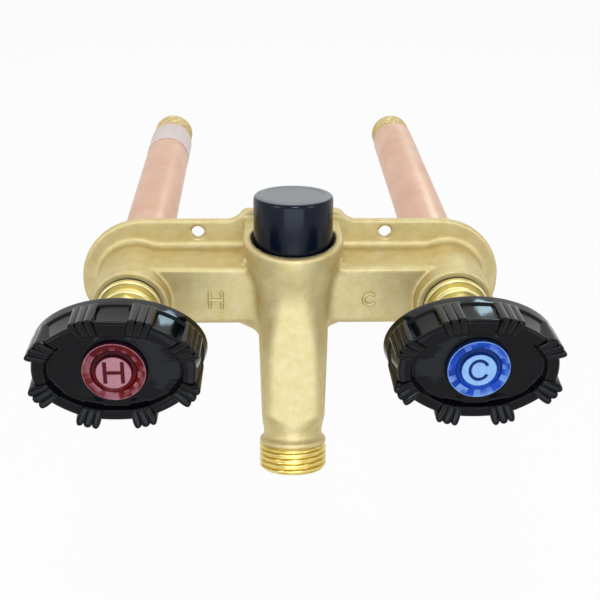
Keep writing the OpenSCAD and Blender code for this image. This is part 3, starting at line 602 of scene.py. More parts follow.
@dataclass(frozen=True)
class DrawnCopper(TwoTone):
    """Hard-drawn copper tube: pink and satin, with faint lines along its length."""

    tints: tuple[str, str] = ("#DFBAA2", "#D2A88E")
    relief_mm: float = 0.01
    line_mm: float = 0.7
    run_mm: float = 60.0
    patch_mm: float = 14.0
    rough: tuple[float, float] = (0.34, 0.5)

    def shader(self, tree: Tree, place: Socket) -> Node:
        """A noise stretched along the tube makes the lines, and a coarse one the brown patches.

        Args:
            tree: the material's nodes.
            place: coordinates on the object.

        Returns:
            The shader.
        """
        stretched = add_node(tree, "ShaderNodeMapping",
                             {"Vector": place, "Scale": (1.0, self.line_mm / self.run_mm, 1.0)})
        lines = add_node(tree, "ShaderNodeTexNoise",
                         {"Vector": stretched.outputs[0], "Scale": per_metre(self.line_mm), "Detail": 3.0})
        patch = add_node(tree, "ShaderNodeTexNoise",
                         {"Vector": place, "Scale": per_metre(self.patch_mm), "Detail": 4.0})
        share = add_node(tree, "ShaderNodeMapRange", {0: patch.outputs[0], **TINT_SPAN})
        dull = add_node(tree, "ShaderNodeMapRange",
                        {0: lines.outputs[0], **DULL_SPAN, 3: self.rough[0], 4: self.rough[1]})
        return self.coat(tree, share.outputs[0], dull.outputs[0], lines.outputs[0], METAL)


@dataclass(frozen=True)
class BlackEnamel(TwoTone):
    """Baked black enamel on a die casting: a hard gloss with a slight orange peel."""

    tints: tuple[str, str] = ("#030405", "#08090C")
    relief_mm: float = 0.012
    peel_mm: float = 2.4
    haze_mm: float = 11.0
    rough: tuple[float, float] = (0.05, 0.12)
    gloss: float = 0.16

    def shader(self, tree: Tree, place: Socket) -> Node:
        """The peel bends reflections a little, and handling dulls the gloss in patches.

        Args:
            tree: the material's nodes.
            place: coordinates on the object.

        Returns:
            The shader.
        """
        peel = add_node(tree, "ShaderNodeTexNoise",
                        {"Vector": place, "Scale": per_metre(self.peel_mm), "Detail": 1.5})
        haze = add_node(tree, "ShaderNodeTexNoise",
                        {"Vector": place, "Scale": per_metre(self.haze_mm), "Detail": 4.0})
        dull = add_node(tree, "ShaderNodeMapRange",
                        {0: haze.outputs[0], **DULL_SPAN, 3: self.rough[0], 4: self.rough[1]})
        return self.coat(tree, haze.outputs[0], dull.outputs[0], peel.outputs[0],
                         {"Specular IOR Level": self.gloss})


@dataclass(frozen=True)
class MouldedPlastic(TwoTone):
    """Injection-moulded plastic: dark and polished, or grained where the mould was, with a light grey painted
    there as sheen.
    """

    # The second tint, a light grey, is painted sheen on the grained top.
    tints: tuple[str, str] = ("#070D1C", "#7A7D80")
    grain_mm: float = 0.6
    rough: tuple[float, float] = (0.18, 0.4)
    gloss: tuple[float, float] = (0.2, 0.6)

    def shader(self, tree: Tree, place: Socket) -> Node:
        """The tone says where the mould was grained: there the gloss is lost, the bump shows and the grey
        tint is painted sheen.

        Args:
            tree: the material's nodes.
            place: coordinates on the object.

        Returns:
            The shader.
        """
        mask = add_node(tree, "ShaderNodeAttribute", attribute_name="tone").outputs["Fac"]
        grain = add_node(tree, "ShaderNodeTexNoise",
                         {"Vector": place, "Scale": per_metre(self.grain_mm), "Detail": 2.0})
        dull, gloss = (add_node(tree, "ShaderNodeMapRange", {0: mask, 3: polished, 4: grained})
                       for polished, grained in (self.rough, self.gloss))
        height = add_node(tree, "ShaderNodeMath", {0: grain.outputs[0], 1: mask}, operation="MULTIPLY")
        return self.coat(tree, mask, dull.outputs[0], height.outputs[0],
                         {"Specular IOR Level": gloss.outputs[0]})


@dataclass(frozen=True)
class PlainFinish(TwoTone):
    """A matt material with a fine mottle: rubber, paper, acetal or stainless steel."""

    mottle_mm: float = 1.2
    rough: float = 0.6
    metallic: float = 0.0

    def shader(self, tree: Tree, place: Socket) -> Node:
        """One noise mixes two near tints and raises the surface a little.

        Args:
            tree: the material's nodes.
            place: coordinates on the object.

        Returns:
            The shader.
        """
        mottle = add_node(tree, "ShaderNodeTexNoise",
                          {"Vector": place, "Scale": per_metre(self.mottle_mm), "Detail": 4.0}).outputs[0]
        return self.coat(tree, mottle, self.rough, mottle, {"Metallic": self.metallic})


@dataclass(frozen=True)
class TintedAcrylic(Finish):
    """Tinted clear acrylic with facets moulded in its back, whose glints and shade are painted into the tone
    as dark and light.
    """

    # The dark tint is both the painted shade of the button's bevel and the ink of its letter.
    dark: str = "#24101A"
    deep: str = "#5C0405"
    light: str = "#A6757F"
    deep_tone: float = 0.35
    cloud_mm: float = 1.6
    cloud_depth: float = 0.3
    rough: float = 0.08
    ior: float = 1.49
    gloss: float = 0.12

    def shader(self, tree: Tree, place: Socket) -> Node:
        """The tone, slightly clouded, runs from dark through the deep tint to the light one.

        Args:
            tree: the material's nodes.
            place: coordinates on the object.

        Returns:
            The shader.
        """
        tone = add_node(tree, "ShaderNodeAttribute", attribute_name="tone").outputs["Fac"]
        cloud = add_node(tree, "ShaderNodeTexNoise",
                         {"Vector": place, "Scale": per_metre(self.cloud_mm), "Detail": 2.0})
        stir = add_node(tree, "ShaderNodeMath", {0: cloud.outputs[0], 1: self.cloud_depth,
                                                 2: -self.cloud_depth / 2}, operation="MULTIPLY_ADD")
        share = add_node(tree, "ShaderNodeMath", {0: tone, 1: stir.outputs[0]},
                         operation="ADD", use_clamp=True)
        low = add_node(tree, "ShaderNodeMapRange", {0: share.outputs[0], 2: self.deep_tone})
        high = add_node(tree, "ShaderNodeMapRange", {0: share.outputs[0], 1: self.deep_tone})
        shade = add_node(tree, "ShaderNodeMix",
                         {0: low.outputs[0], 6: srgb(self.dark), 7: srgb(self.deep)}, data_type="RGBA")
        tint = add_node(tree, "ShaderNodeMix",
                        {0: high.outputs[0], 6: shade.outputs[2], 7: srgb(self.light)}, data_type="RGBA")
        return add_node(tree, "ShaderNodeBsdfPrincipled",
                        {"Base Color": tint.outputs[2], "Roughness": self.rough, "IOR": self.ior,
                         "Specular IOR Level": self.gloss})


CAST_BRASS = SandCastBrass("Sand-cast brass")
LATHE_BRASS = TurnedBrass("Turned brass")
DULL_BRASS = TurnedBrass("Dulled turned brass", ("#C9BA8C", "#B9A066"), rough=(0.42, 0.54))
HOSE_BRASS = TurnedBrass("Bright cut brass", ("#E6D68E", "#D2BA62"), rough=(0.26, 0.36))
COPPER = DrawnCopper("Drawn copper tube")
ENAMEL = BlackEnamel("Baked black enamel")
CAP_PLASTIC = MouldedPlastic("Moulded black plastic")
RED_ACRYLIC = TintedAcrylic("Tinted red acrylic")
BLUE_ACRYLIC = TintedAcrylic("Tinted blue acrylic", dark="#12263F", deep="#1440A6", light="#88AED2")
RUBBER = PlainFinish("Nitrile rubber", ("#161616", "#232323"), rough=0.7)
ACETAL = PlainFinish("White acetal", ("#E6E6E0", "#DADAD2"), 0.005, rough=0.4)
STEEL = PlainFinish("Stainless steel", ("#C9CACB", "#B4B6B8"), 0.005, rough=0.3, metallic=1.0)
PAPER = PlainFinish("Plain paper", ("#E6E2DE", "#EAD2CE"), 0.06, mottle_mm=5.0, rough=0.85)


def add_piece(name: str, skin: Skin, finish: Finish, body: str, nodes: Sequence[str] = (),
              crease_deg: float = 42.0) -> bpy.types.Object:
    """Makes one object of the faucet, parents it to its body and hides the CAD nodes that it stands for.

    Args:
        name: the piece's name.
        skin: its closed surface.
        finish: what it is finished with.
        body: the CAD body that it moves with.
        nodes: the CAD nodes that it stands for.
        crease_deg: edges sharper than this stay sharp.

    Returns:
        The object.
    """
    mesh = bpy.data.meshes.new(name)
    mesh.from_pydata(skin.points * MM, [], skin.faces)
    mesh.attributes.new("tone", "FLOAT", "POINT").data.foreach_set("value", skin.tones.astype(np.float32))
    mesh.shade_smooth()
    mesh.set_sharp_from_angle(angle=math.radians(crease_deg))
    mesh.materials.append(finish.material())
    piece = bpy.data.objects.new(name, mesh)
    bpy.context.scene.collection.objects.link(piece)
    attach(piece, body)
    if nodes:
        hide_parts(*nodes)
    LOG.info("%s: %d faces on %s", name, len(skin.faces), body)
    return piece


def dress_nodes(finishes: dict[str, Finish]) -> None:
    """Finishes CAD nodes that stay in view.

    Args:
        finishes: the finish of each node, by the node's name.
    """
    for node, finish in finishes.items():
        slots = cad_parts[node].data.materials
        slots.clear()
        slots.append(finish.material())


def ridge(path: Array, width: float, proud: float, sunk: float) -> Array:
    """Raises a rounded stroke on a face.

    At each path point the section is an ellipse, as wide as the stroke and as high as the stroke is proud,
    whose lower half is as deep as the stroke is sunk. Half circles of the stroke's width close both ends.

    Args:
        path: the stroke's middle line, as points in the face.
        width: width of the stroke.
        proud: how far it stands over the face.
        sunk: how far its base lies under the face.

    Returns:
        A grid of points as two coordinates in the face and one over it.
    """
    end_steps, around = 6, 16
    lead = np.sin(np.linspace(-np.pi / 2, 0, end_steps))[:-1]
    first = (path[0] - path[1]) / np.linalg.norm(path[0] - path[1])
    last = (path[-1] - path[-2]) / np.linalg.norm(path[-1] - path[-2])
    start = path[0] - lead[:, None] * first * width / 2
    end = path[-1] - lead[::-1, None] * last * width / 2
    line = np.concatenate([start, path, end])
    swell = np.concatenate([np.sqrt(1 - lead**2), np.ones(len(path)), np.sqrt(1 - lead[::-1] ** 2)])
    tangent = np.gradient(line, axis=0)
    tangent /= np.linalg.norm(tangent, axis=1, keepdims=True)
    beside = np.stack([-tangent[:, 1], tangent[:, 0]], axis=-1)
    turn = np.linspace(0, TURN, around, endpoint=False)
    across = np.cos(turn)[None] * swell[:, None] * width / 2
    over = np.where(np.sin(turn) > 0, np.sin(turn) * proud, np.sin(turn) * sunk)[None] * swell[:, None]
    flat = line[:, None] + across[..., None] * beside[:, None]
    return np.concatenate([flat, over[..., None]], axis=-1)


@dataclass
class Casting:
    """The brass casting: wall flange, bridge, two bosses, column, collar, and the spout to its thread."""

    stem_x: float = 63.5
    flange_t: float = 3.0
    flange_reach: float = 22.5
    flange_top: float = 24.9
    flange_low: float = 21.7
    flange_end_r: float = 26.0
    flange_side: float = 2.0
    flange_edge_r: float = 0.8
    tab_half: float = 22.7
    tab_top_half: float = 19.5
    tab_h: float = 4.6
    tab_edge_r: float = 1.4
    tab_fillet: float = 3.0
    hole_x: float = 38.1
    hole_z: float = 19.8
    hole_r: float = 2.6
    bridge_top: float = 13.4
    bridge_drop: float = 10.1
    bridge_depth: float = 25.3
    bridge_behind: float = 10.0
    bridge_edge_r: float = 1.4
    bridge_fillet: float = 2.6
    boss_r: float = 15.3
    boss_depth: float = 32.0
    boss_edge_r: float = 0.9
    boss_fillet: float = 1.0
    junction: tuple[float, float, float] = (0.0, -26.4, -19.0)
    spout_lean: float = 18.0
    vent_lean: float = 6.0
    rim_slope: float = 6.5
    rim_drop: float = 1.2
    rim_edge_r: float = 0.7
    tower_sections: tuple[tuple[float, float, float, float, float], ...] = (
        (-50.4, 12.2, -48.9, -23.9, 4.6), (-15.0, 13.4, -42.2, -13.2, 6.5), (6.9, 14.2, -38.0, -6.6, 13.0),
        (19.0, 19.5, -41.8, -2.9, 19.4), (30.0, 19.5, -40.9, -2.0, 19.4))
    tower_smoothing: float = 4.0
    tower_samples: int = 5
    tower_steepness: float = 0.92
    tower_fillet: float = 2.6
    tower_wall_fillet: float = 0.9
    column_low_s: float = 36.5
    column_end_r: float = 0.8
    neck_r: float = 11.7
    neck_widening: float = 0.05
    neck_overlap: float = 1.0
    shoulder_fillet: float = 2.4
    shoulder_r: float = 13.2
    shoulder_s: float = 38.6
    shoulder_edge_r: float = 0.4
    thread_s: float = 40.2
    wing_top: float = 26.0
    wing_half: float = 19.2
    wing_front: float = 20.4
    wing_sink: float = 6.0
    wing_fillet: float = 0.4
    web_root: float = 13.2
    web_setback: float = 3.0
    web_edge_r: float = 2.0
    webs: tuple[tuple[Side, float, float, float], ...] = (
        (Side.HOT, 12.5, 6.5, 3.0), (Side.COLD, 11.0, 4.6, 2.5))
    collar_bore_r: float = 16.35
    collar_floor_h: float = 37.0
    float_seat_h: float = 22.2
    float_bore_r: float = 10.5
    riser_r: float = 8.5
    riser_low_h: float = -4.0
    spout_bore_r: float = 8.0
    spout_bore_s: float = -2.0
    tube_r: float = 11.13
    tube_bore_r: float = 10.0
    tube_socket: float = 12.0
    tail_r: float = 10.48
    tail_y: float = -22.2
    tail_overlap: float = 1.0
    bore_edge_r: float = 0.35
    letter_x: float = 30.5
    letter_w: float = 6.3
    letter_h: float = 6.3
    letter_stroke: float = 1.5
    letter_proud: float = 0.8
    letter_sunk: float = 0.5
    letter_mouth_deg: float = 48.0
    cell: float = 0.8
    grid_front: float = -60.0
    grid_low: float = -70.0
    grid_top: float = 36.0

    def vent_axis(self) -> Axis:
        """Axis of the vacuum breaker, upwards from where it meets the spout's."""
        return leaning(self.junction, self.vent_lean, upward=True)

    def spout_axis(self) -> Axis:
        """Axis of the spout, downwards from where it meets the vacuum breaker's."""
        return leaning(self.junction, self.spout_lean, upward=False)

    def around(self, axis: Axis, place: Place) -> tuple[Array, Array]:
        """Measures points from a leaning axis in the middle plane.

        Args:
            axis: the leaning axis.
            place: coordinates in mm.

        Returns:
            Distances along the axis and radii about it.
        """
        x, y, z = place
        _, ay, az = axis.along
        _, oy, oz = axis.origin
        return (y - oy) * ay + (z - oz) * az, np.hypot(x, (z - oz) * ay - (y - oy) * az)

    def rim(self, place: Place) -> Array:
        """Height over the collar's rim, which slopes in front and lies flat on the wings.

        Args:
            place: coordinates in mm.

        Returns:
            Heights in mm.
        """
        _, y, z = place
        slope = math.radians(self.rim_slope)
        top = self.flange_top + self.tab_h - self.rim_drop
        return np.maximum((z - top) * math.cos(slope) - y * math.sin(slope), z - self.wing_top)

    def flange(self, place: Place) -> Array:
        """The plate on the wall, with big upper corners, smaller lower ones and a raised tab.

        Args:
            place: coordinates in mm.

        Returns:
            Distances in mm.
        """
        x, y, z = place
        half = self.stem_x + self.flange_reach
        drop = self.flange_end_r - self.flange_top
        foot = self.flange_low - drop
        upper = round_rectangle(x, z + drop, half, self.flange_end_r, self.flange_end_r)
        lower = round_rectangle(x, z + drop, half, foot, foot - self.flange_side)
        plate = np.where(z > -drop, upper, lower)
        low = self.flange_top
        lean = (self.tab_half - self.tab_top_half) / self.tab_h
        side = (np.abs(x) - self.tab_half + (z - low) * lean) / math.hypot(1, lean)
        tab = np.maximum(round_overlap(side, z - low - self.tab_h, self.tab_edge_r), low / 2 - z)
        slab = np.abs(y + self.flange_t / 2) - self.flange_t / 2
        return round_overlap(round_union(plate, tab, self.tab_fillet), slab, self.flange_edge_r)

    def bridge(self, place: Place) -> Array:
        """The bar between the valves: a rectangle with rounded front edges, with a boss at each end.

        Args:
            place: coordinates in mm.

        Returns:
            Distances in mm.
        """
        x, y, z = place
        front, behind = self.bridge_depth, self.bridge_behind
        top, drop = self.bridge_top, self.bridge_drop
        section = round_rectangle(y + (front - behind) / 2, z - (top - drop) / 2,
                                  (front + behind) / 2, (top + drop) / 2, self.bridge_edge_r)
        bar = np.maximum(section, np.abs(x) - self.stem_x)
        round_side = np.hypot(np.abs(x) - self.stem_x, z) - self.boss_r
        boss = round_overlap(round_side, -self.boss_depth - y, self.boss_edge_r)
        return round_union(bar, boss, self.boss_fillet)

    def tower(self, place: Place) -> Array:
        """Column, cone and collar as one loft, then a round neck and shoulder down to the thread.

        The section at each height is a rounded rectangle, whose half width, front, back and corner radius run
        straight from one row of the table to the next and are then averaged over a short height. Towards its
        low end the column is cut to a round neck, whose radius grows with the square of the way up.

        Args:
            place: coordinates in mm.

        Returns:
            Distances in mm.
        """
        x, y, z = place
        table = np.array(self.tower_sections)
        shifts = self.tower_smoothing * np.linspace(-1, 1, self.tower_samples)
        half, front, back, corner = (np.mean([np.interp(z + d, table[:, 0], column) for d in shifts], axis=0)
                                     for column in table.T[1:])
        post = round_rectangle(x, y - (front + back) / 2, half, (back - front) / 2, corner)
        s, radius = self.around(self.spout_axis(), place)
        taper = self.neck_r + self.neck_widening * np.maximum(self.column_low_s - s, 0) ** 2
        post = round_overlap(self.tower_steepness * post, radius - taper, self.column_end_r)
        post = np.maximum(post, s - self.thread_s)
        span = np.maximum(self.column_low_s - self.neck_overlap - s, s - self.thread_s)
        neck = np.maximum(radius - self.neck_r, span)
        middle = (self.shoulder_s + self.thread_s) / 2
        slab = np.abs(s - middle) - (self.thread_s - middle)
        disc = round_overlap(radius - self.shoulder_r, slab, self.shoulder_edge_r)
        return round_union(np.minimum(post, neck), disc, self.shoulder_fillet)

    def wings(self, place: Place) -> Array:
        """Straight cheeks from the collar back to the flange.

        Args:
            place: coordinates in mm.

        Returns:
            Distances in mm.
        """
        x, y, z = place
        low = self.bridge_top - self.wing_sink - z
        return np.maximum(np.abs(x) - self.wing_half, np.maximum(-self.wing_front - y, low))

    def web(self, place: Place, side: Side, width: float, height: float) -> Array:
        """A brace under the bridge beside the column, with a sloping lower edge.

        Args:
            place: coordinates in mm.
            side: the side of the column that it stands on.
            width: its reach from the column.
            height: its reach under the bridge.

        Returns:
            Distances in mm.
        """
        x, y, z = place
        slope = math.hypot(width, height)
        edge = ((side.value * x - self.web_root - width) * height - (z + self.bridge_drop) * width) / slope
        wedge = np.maximum(edge, np.maximum(z, -side.value * x))
        middle = self.bridge_depth / 2
        return round_overlap(wedge, np.abs(y + middle) - middle + self.web_setback, self.web_edge_r)

    def bores(self, place: Place) -> Array:
        """What is drilled out: tube sockets, bonnet threads, the float's seat, the spout and screw holes.

        Args:
            place: coordinates in mm.

        Returns:
            Distances in mm, negative where the metal is gone.
        """
        x, y, z = place
        stem = np.hypot(np.abs(x) - self.stem_x, z)
        h, vent = self.around(self.vent_axis(), place)
        s, spout = self.around(self.spout_axis(), place)
        return np.minimum.reduce(np.broadcast_arrays(
            np.maximum(stem - self.tube_r, -self.tube_socket - y),
            np.maximum(stem - self.tube_bore_r, self.tail_y - self.tail_overlap - y),
            np.maximum(stem - self.tail_r, y - self.tail_y),
            np.maximum(vent - self.riser_r, self.riser_low_h - h),
            np.maximum(vent - self.float_bore_r, self.float_seat_h - h),
            np.maximum(spout - self.spout_bore_r, self.spout_bore_s - s),
            np.hypot(np.abs(x) - self.hole_x, z - self.hole_z) - self.hole_r))

    def field(self, *place: Array) -> Array:
        """Distance to the casting's surface: its masses joined with fillets, less what is drilled out.

        Args:
            place: coordinates in mm.

        Returns:
            Distances in mm, negative in the metal.
        """
        bar = self.bridge(place)
        for side, width, height, fillet in self.webs:
            bar = round_union(bar, self.web(place, side, width, height), fillet)
        tower = round_union(self.tower(place), self.wings(place), self.wing_fillet)
        tower = round_overlap(tower, self.rim(place), self.rim_edge_r)
        flange = self.flange(place)
        solid = np.minimum.reduce([round_union(bar, tower, self.tower_fillet),
                                   round_union(flange, bar, self.bridge_fillet),
                                   round_union(flange, tower, self.tower_wall_fillet)])
        solid = np.maximum(solid, place[1])
        h, vent = self.around(self.vent_axis(), place)
        cup = np.maximum(vent - self.collar_bore_r, self.collar_floor_h - h)
        solid = round_overlap(solid, -cup, self.rim_edge_r)
        return round_overlap(solid, -self.bores(place), self.bore_edge_r)

    def letters(self) -> dict[Side, Skin]:
        """Raised H and C on the bridge's front, as rounded strokes.

        Returns:
            The letter of each side.
        """
        post_steps, bow_steps = 8, 28
        half = self.letter_h / 2
        run = np.linspace(-half, half, post_steps)
        reach = (self.letter_w - self.letter_stroke) / 2
        post = np.stack([0 * run, run], axis=-1)
        bar = np.stack([run / half * reach, 0 * run], axis=-1)
        bend = np.radians(np.linspace(self.letter_mouth_deg, 360 - self.letter_mouth_deg, bow_steps))
        bow = (half - self.letter_stroke / 2) * np.stack([np.cos(bend), np.sin(bend)], axis=-1)
        strokes = {Side.HOT: [post - (reach, 0), post + (reach, 0), bar], Side.COLD: [bow]}
        made = {}
        for side, paths in strokes.items():
            skins = []
            for path in paths:
                across, up, over = np.moveaxis(
                    ridge(path, self.letter_stroke, self.letter_proud, self.letter_sunk), -1, 0)
                skins.append(grid_skin(np.stack([across + side.value * self.letter_x,
                                                 -self.bridge_depth - over, up], axis=-1)))
            made[side] = joined(skins)
        return made

    def build(self) -> None:
        """Makes the casting, its raised letters and the thread of its spout."""
        reach = self.stem_x + self.flange_reach + 2 * self.cell
        skin = surface_net(self.field, (-reach, self.grid_front, self.grid_low),
                           (reach, 2 * self.cell, self.grid_top), self.cell)
        add_piece("body_casting", skin, CAST_BRASS, "root", ["valve_body"], crease_deg=60.0)
        for side, letter in self.letters().items():
            add_piece(f"cast_letter_{side.name.lower()}", letter, CAST_BRASS, "root")
        thread = HoseThread(start=self.thread_s, bore_r=self.spout_bore_r)
        add_piece("hose_thread", thread.skin(self.spout_axis()), HOSE_BRASS, "root")


@dataclass
class HoseThread:
    """The hose thread at the end of the spout, cut on a lathe."""

    start: float
    bore_r: float
    crest_r: float = 13.5
    depth: float = 1.2
    pitch: float = 2.2
    length: float = 9.45
    chamfer: float = 1.6
    sunk: float = 0.6
    run_out: float = 0.6

    def skin(self, axis: Axis) -> Skin:
        """Winds the thread, with its root sunk a little into the shoulder and its end run out in the chamfer.

        Args:
            axis: the spout's axis.

        Returns:
            The threaded skin.
        """
        root = self.start - self.sunk
        root_r = self.crest_r - self.depth
        end = self.start + self.length
        tip = end + self.chamfer
        last = end + self.run_out * self.chamfer
        thread = ScrewThread(self.crest_r, self.depth, self.pitch, self.start, last,
                             [(self.bore_r, tip), (self.bore_r, root)])
        full = self.start + thread.run_in * self.pitch
        outline = [(root_r, root), (root_r, self.start), (self.crest_r, full), (self.crest_r, end),
                   (self.crest_r - self.chamfer, tip)]
        return thread.skin(axis, outline)


@dataclass
class VacuumBreaker:
    """The black cap over the vacuum breaker, on the brass insert that stays as the CAD node."""

    axis: Axis
    cap_r: float = 15.4
    low_h: float = 40.8
    top_h: float = 61.7
    wall: float = 2.2
    edge_r: float = 2.2
    dish: float = 0.35
    dish_edge: tuple[float, float] = (3.6, 3.1)
    dish_edge_r: float = 0.3
    grained_sheen_depth: float = 0.5

    def build(self) -> None:
        """Makes the cap, grained on top with a painted sheen there, and finishes the pieces under it."""
        r, top, low = self.cap_r, self.top_h, self.low_h
        ceiling, bore = top - self.wall, r - self.wall
        floor, (dish_in, dish_out) = top - self.dish, self.dish_edge
        edge = self.dish_edge_r
        profile = [(0, floor, 0), (r - dish_in, floor, edge), (r - dish_out, top, edge),
                   (r, top, self.edge_r), (r, low, 0.5), (bore, low, 0.3), (bore, ceiling, 0.6),
                   (0, ceiling, 0)]
        skin = turned(self.axis, profile, LATHE_STEPS)
        # Down to this depth the top is grained and painted light grey as its sheen.
        skin.tones = (skin.tones > (top - self.grained_sheen_depth) * MM).astype(float)
        add_piece("breaker_cap", skin, CAP_PLASTIC, "root", ["vent_cap"])
        dress_nodes({"vent_insert": LATHE_BRASS, "vent_gasket": RUBBER, "vent_float": ACETAL,
                     "float_seal": RUBBER})


@dataclass
class InletTube:
    """A copper tube through the wall with its threaded brass inlet, and a paper band on the hot one."""

    side: Side
    wall: float = 1.1
    end_round: float = 0.35
    thread_depth: float = 0.8
    thread_pitch: float = 1.8
    socket_depth: float = 12.7
    socket_r: float = 7.98
    seat_r: float = 5.5
    lip: float = 1.4
    spigot: float = 16.0
    spigot_gap: float = 0.03
    collar_step: float = 0.01
    band_before_thread: float = 2.0
    chamfer: float = 1.0
    paper_t: float = 0.2
    band_turns: float = 1.12
    band_start: float = 0.3
    band_steps: int = 180
    lap_from: float = 0.79
    lap_gap: float = 0.02

    def build(self) -> None:
        """Makes the tube, the inlet and the band."""
        node = self.side.node("tube")
        low, high = node_box(node)
        axis = bar_axis(node)
        radius = (high[0] - low[0]) / 2
        bore = radius - self.wall
        e = self.end_round
        profile = [(bore, low[1], e), (radius, low[1], e), (radius, high[1], e), (bore, high[1], e)]
        add_piece(self.side.node("copper_tube"), turned(axis, profile), COPPER, "root", [node])
        self.build_inlet(axis, bore, high[1])
        if self.side is Side.HOT:
            self.build_band(axis)

    def build_inlet(self, axis: Axis, tube_bore: float, tube_end: float) -> None:
        """Makes the inlet: a seat and spigot inside the tube, then a thread outside.

        Args:
            axis: the tube's axis.
            tube_bore: radius of the tube's bore.
            tube_end: where the tube ends.
        """
        node = self.side.node("inlet")
        low, high = node_box(node)
        crest = (high[0] - low[0]) / 2
        tip = high[1]
        spigot_y = tube_end - self.spigot
        spigot_r = tube_bore - self.spigot_gap
        start = tube_end + self.band_before_thread
        lip_r = self.seat_r + self.lip
        floor = tip - self.socket_depth
        thread = ScrewThread(crest, self.thread_depth, self.thread_pitch, start, tip,
                             [(self.socket_r, tip), (self.socket_r, floor), (self.seat_r, floor),
                              (self.seat_r, low[1]), (lip_r, low[1]), (lip_r, spigot_y)])
        outline = [(spigot_r, spigot_y), (spigot_r, tube_end), (crest, tube_end + self.collar_step),
                   (crest, tip - self.chamfer), (crest - self.chamfer, tip)]
        add_piece(self.side.node("inlet_thread"), thread.skin(axis, outline), DULL_BRASS, "root",
                  [node])

    def build_band(self, axis: Axis) -> None:
        """Wraps the paper band.

        At each turn the section is a thin upright rectangle. Its radius grows by a little more than the
        paper's thickness towards the lapped end, and a flat cap of triangles about the section's middle shuts
        both ends.

        Args:
            axis: the tube's axis.
        """
        node = self.side.node("tube_band")
        low, high = node_box(node)
        outer = (high[0] - low[0]) / 2
        inner = outer - self.paper_t
        share = np.linspace(0.0, self.band_turns, self.band_steps)
        share = np.concatenate([share[:1], share, share[-1:]])
        lap = (share - self.lap_from) / (1 - self.lap_gap - self.lap_from)
        climb = (self.paper_t + self.lap_gap) * smooth_step(lap)
        loop = np.array([(inner, low[1]), (outer, low[1]), (outer, high[1]), (inner, high[1])])
        loop = rounded(loop, np.full(len(loop), self.paper_t / 4), steps=2)
        open_rows = np.ones((len(share), 1))
        open_rows[[0, -1]] = 0.0
        middle = loop.mean(axis=0)
        section = middle + (loop - middle)[None] * open_rows[..., None]
        turn = (share + self.band_start)[:, None] * TURN
        grid = axis.place(section[..., 0] + climb[:, None], turn, section[..., 1])
        add_piece("paper_band", grid_skin(grid), PAPER, "root", [node])


@dataclass
class ValveHead:
    """The turned brass in front of one boss: bonnet, packing nut and what lies inside them."""

    side: Side
    ring: tuple[float, float] = (12.7, 2.8)
    waist: tuple[float, float] = (9.6, 2.6)
    collar: tuple[float, float] = (11.0, 2.4)
    tail_r: float = 10.45
    nose_r: float = 8.4
    nose_gap: float = 0.03
    chamber_r: float = 7.2
    chamber_depth: float = 9.0
    rod_r: float = 4.8
    screw_r: float = 6.05
    stop: float = 2.0
    nut_flats: float = 18.0
    nut_chamfer: float = 1.1
    nut_face_in: float = 0.25
    nut_cone_out: float = 0.3
    nut_web: float = 2.5
    nut_rows: int = 7
    nut_steps: int = 180

    def build(self) -> None:
        """Makes the bonnet and the nut and finishes the inner pieces."""
        node = self.side.node("bonnet")
        low, high = node_box(node)
        axis = bar_axis(node)
        gasket_front = node_box(self.side.node("bonnet_gasket"))[0][1]
        ring_y = gasket_front - self.ring[1]
        waist_y = ring_y - self.waist[1]
        nose_y = waist_y - self.collar[1]
        floor = low[1] + self.chamber_depth
        stop = floor + self.stop
        profile = [
            (self.screw_r, high[1], 0.2), (self.screw_r, stop, 0), (self.rod_r, stop, 0),
            (self.rod_r, floor, 0), (self.chamber_r, floor, 0), (self.chamber_r, low[1], 0.2),
            (self.nose_r, low[1], 0.4), (self.nose_r, nose_y, 0.2), (self.collar[0], nose_y, 0.7),
            (self.collar[0], waist_y, 0.7), (self.waist[0], waist_y, 0.6), (self.waist[0], ring_y, 0.6),
            (self.ring[0], ring_y, 0.8), (self.ring[0], gasket_front, 0.5), (self.tail_r, gasket_front, 0.1),
            (self.tail_r, high[1], 0.4)]
        add_piece(self.side.node("turned_bonnet"), turned(axis, profile, LATHE_STEPS), LATHE_BRASS, "root",
                  [node])
        self.build_nut(axis)
        inside = {"bonnet_gasket": RUBBER, "packing": ACETAL, "packing_washer": LATHE_BRASS,
                  "washer_holder": LATHE_BRASS, "seat_washer": RUBBER, "washer_screw": LATHE_BRASS,
                  "stem": LATHE_BRASS, "handle_screw": STEEL}
        dress_nodes({self.side.node(name): finish for name, finish in inside.items()})

    def build_nut(self, axis: Axis) -> None:
        """Makes the packing nut.

        The outer radius at turn a is half the flats over the cosine of the turn from the nearest flat's
        middle, cut by a cone at both ends.

        Args:
            axis: the stem's axis.
        """
        node = self.side.node("packing_nut")
        low, high = node_box(node)
        front, back = low[1], high[1]
        half = self.nut_flats / 2
        twelfth = TURN / 12
        corner = half / math.cos(twelfth)
        rise = np.linspace(0, 1, self.nut_rows)
        height = np.concatenate([front + rise * self.nut_chamfer, back - rise[::-1] * self.nut_chamfer])
        depth = np.minimum(height - front, back - height)
        cone = half - self.nut_face_in + depth * (corner - half + self.nut_cone_out) / self.nut_chamfer
        turn = np.linspace(0, TURN, self.nut_steps, endpoint=False)[:, None]
        off_flat = np.mod(turn + twelfth, 2 * twelfth) - twelfth
        radius = np.minimum(half / np.cos(off_flat), cone[None])
        nose_r = self.nose_r + self.nose_gap
        bore = np.array([(nose_r, back), (nose_r, front + self.nut_web), (self.rod_r, front + self.nut_web),
                         (self.rod_r, front)])
        radius = np.concatenate([radius, np.broadcast_to(bore[None, :, 0], (len(turn), len(bore)))], axis=1)
        height = np.broadcast_to(np.concatenate([height, bore[:, 1]])[None], radius.shape)
        skin = grid_skin(axis.place(radius, turn, height), height * MM)
        add_piece(self.side.node("hex_nut"), skin, LATHE_BRASS, "root", [node],
                  crease_deg=20.0)


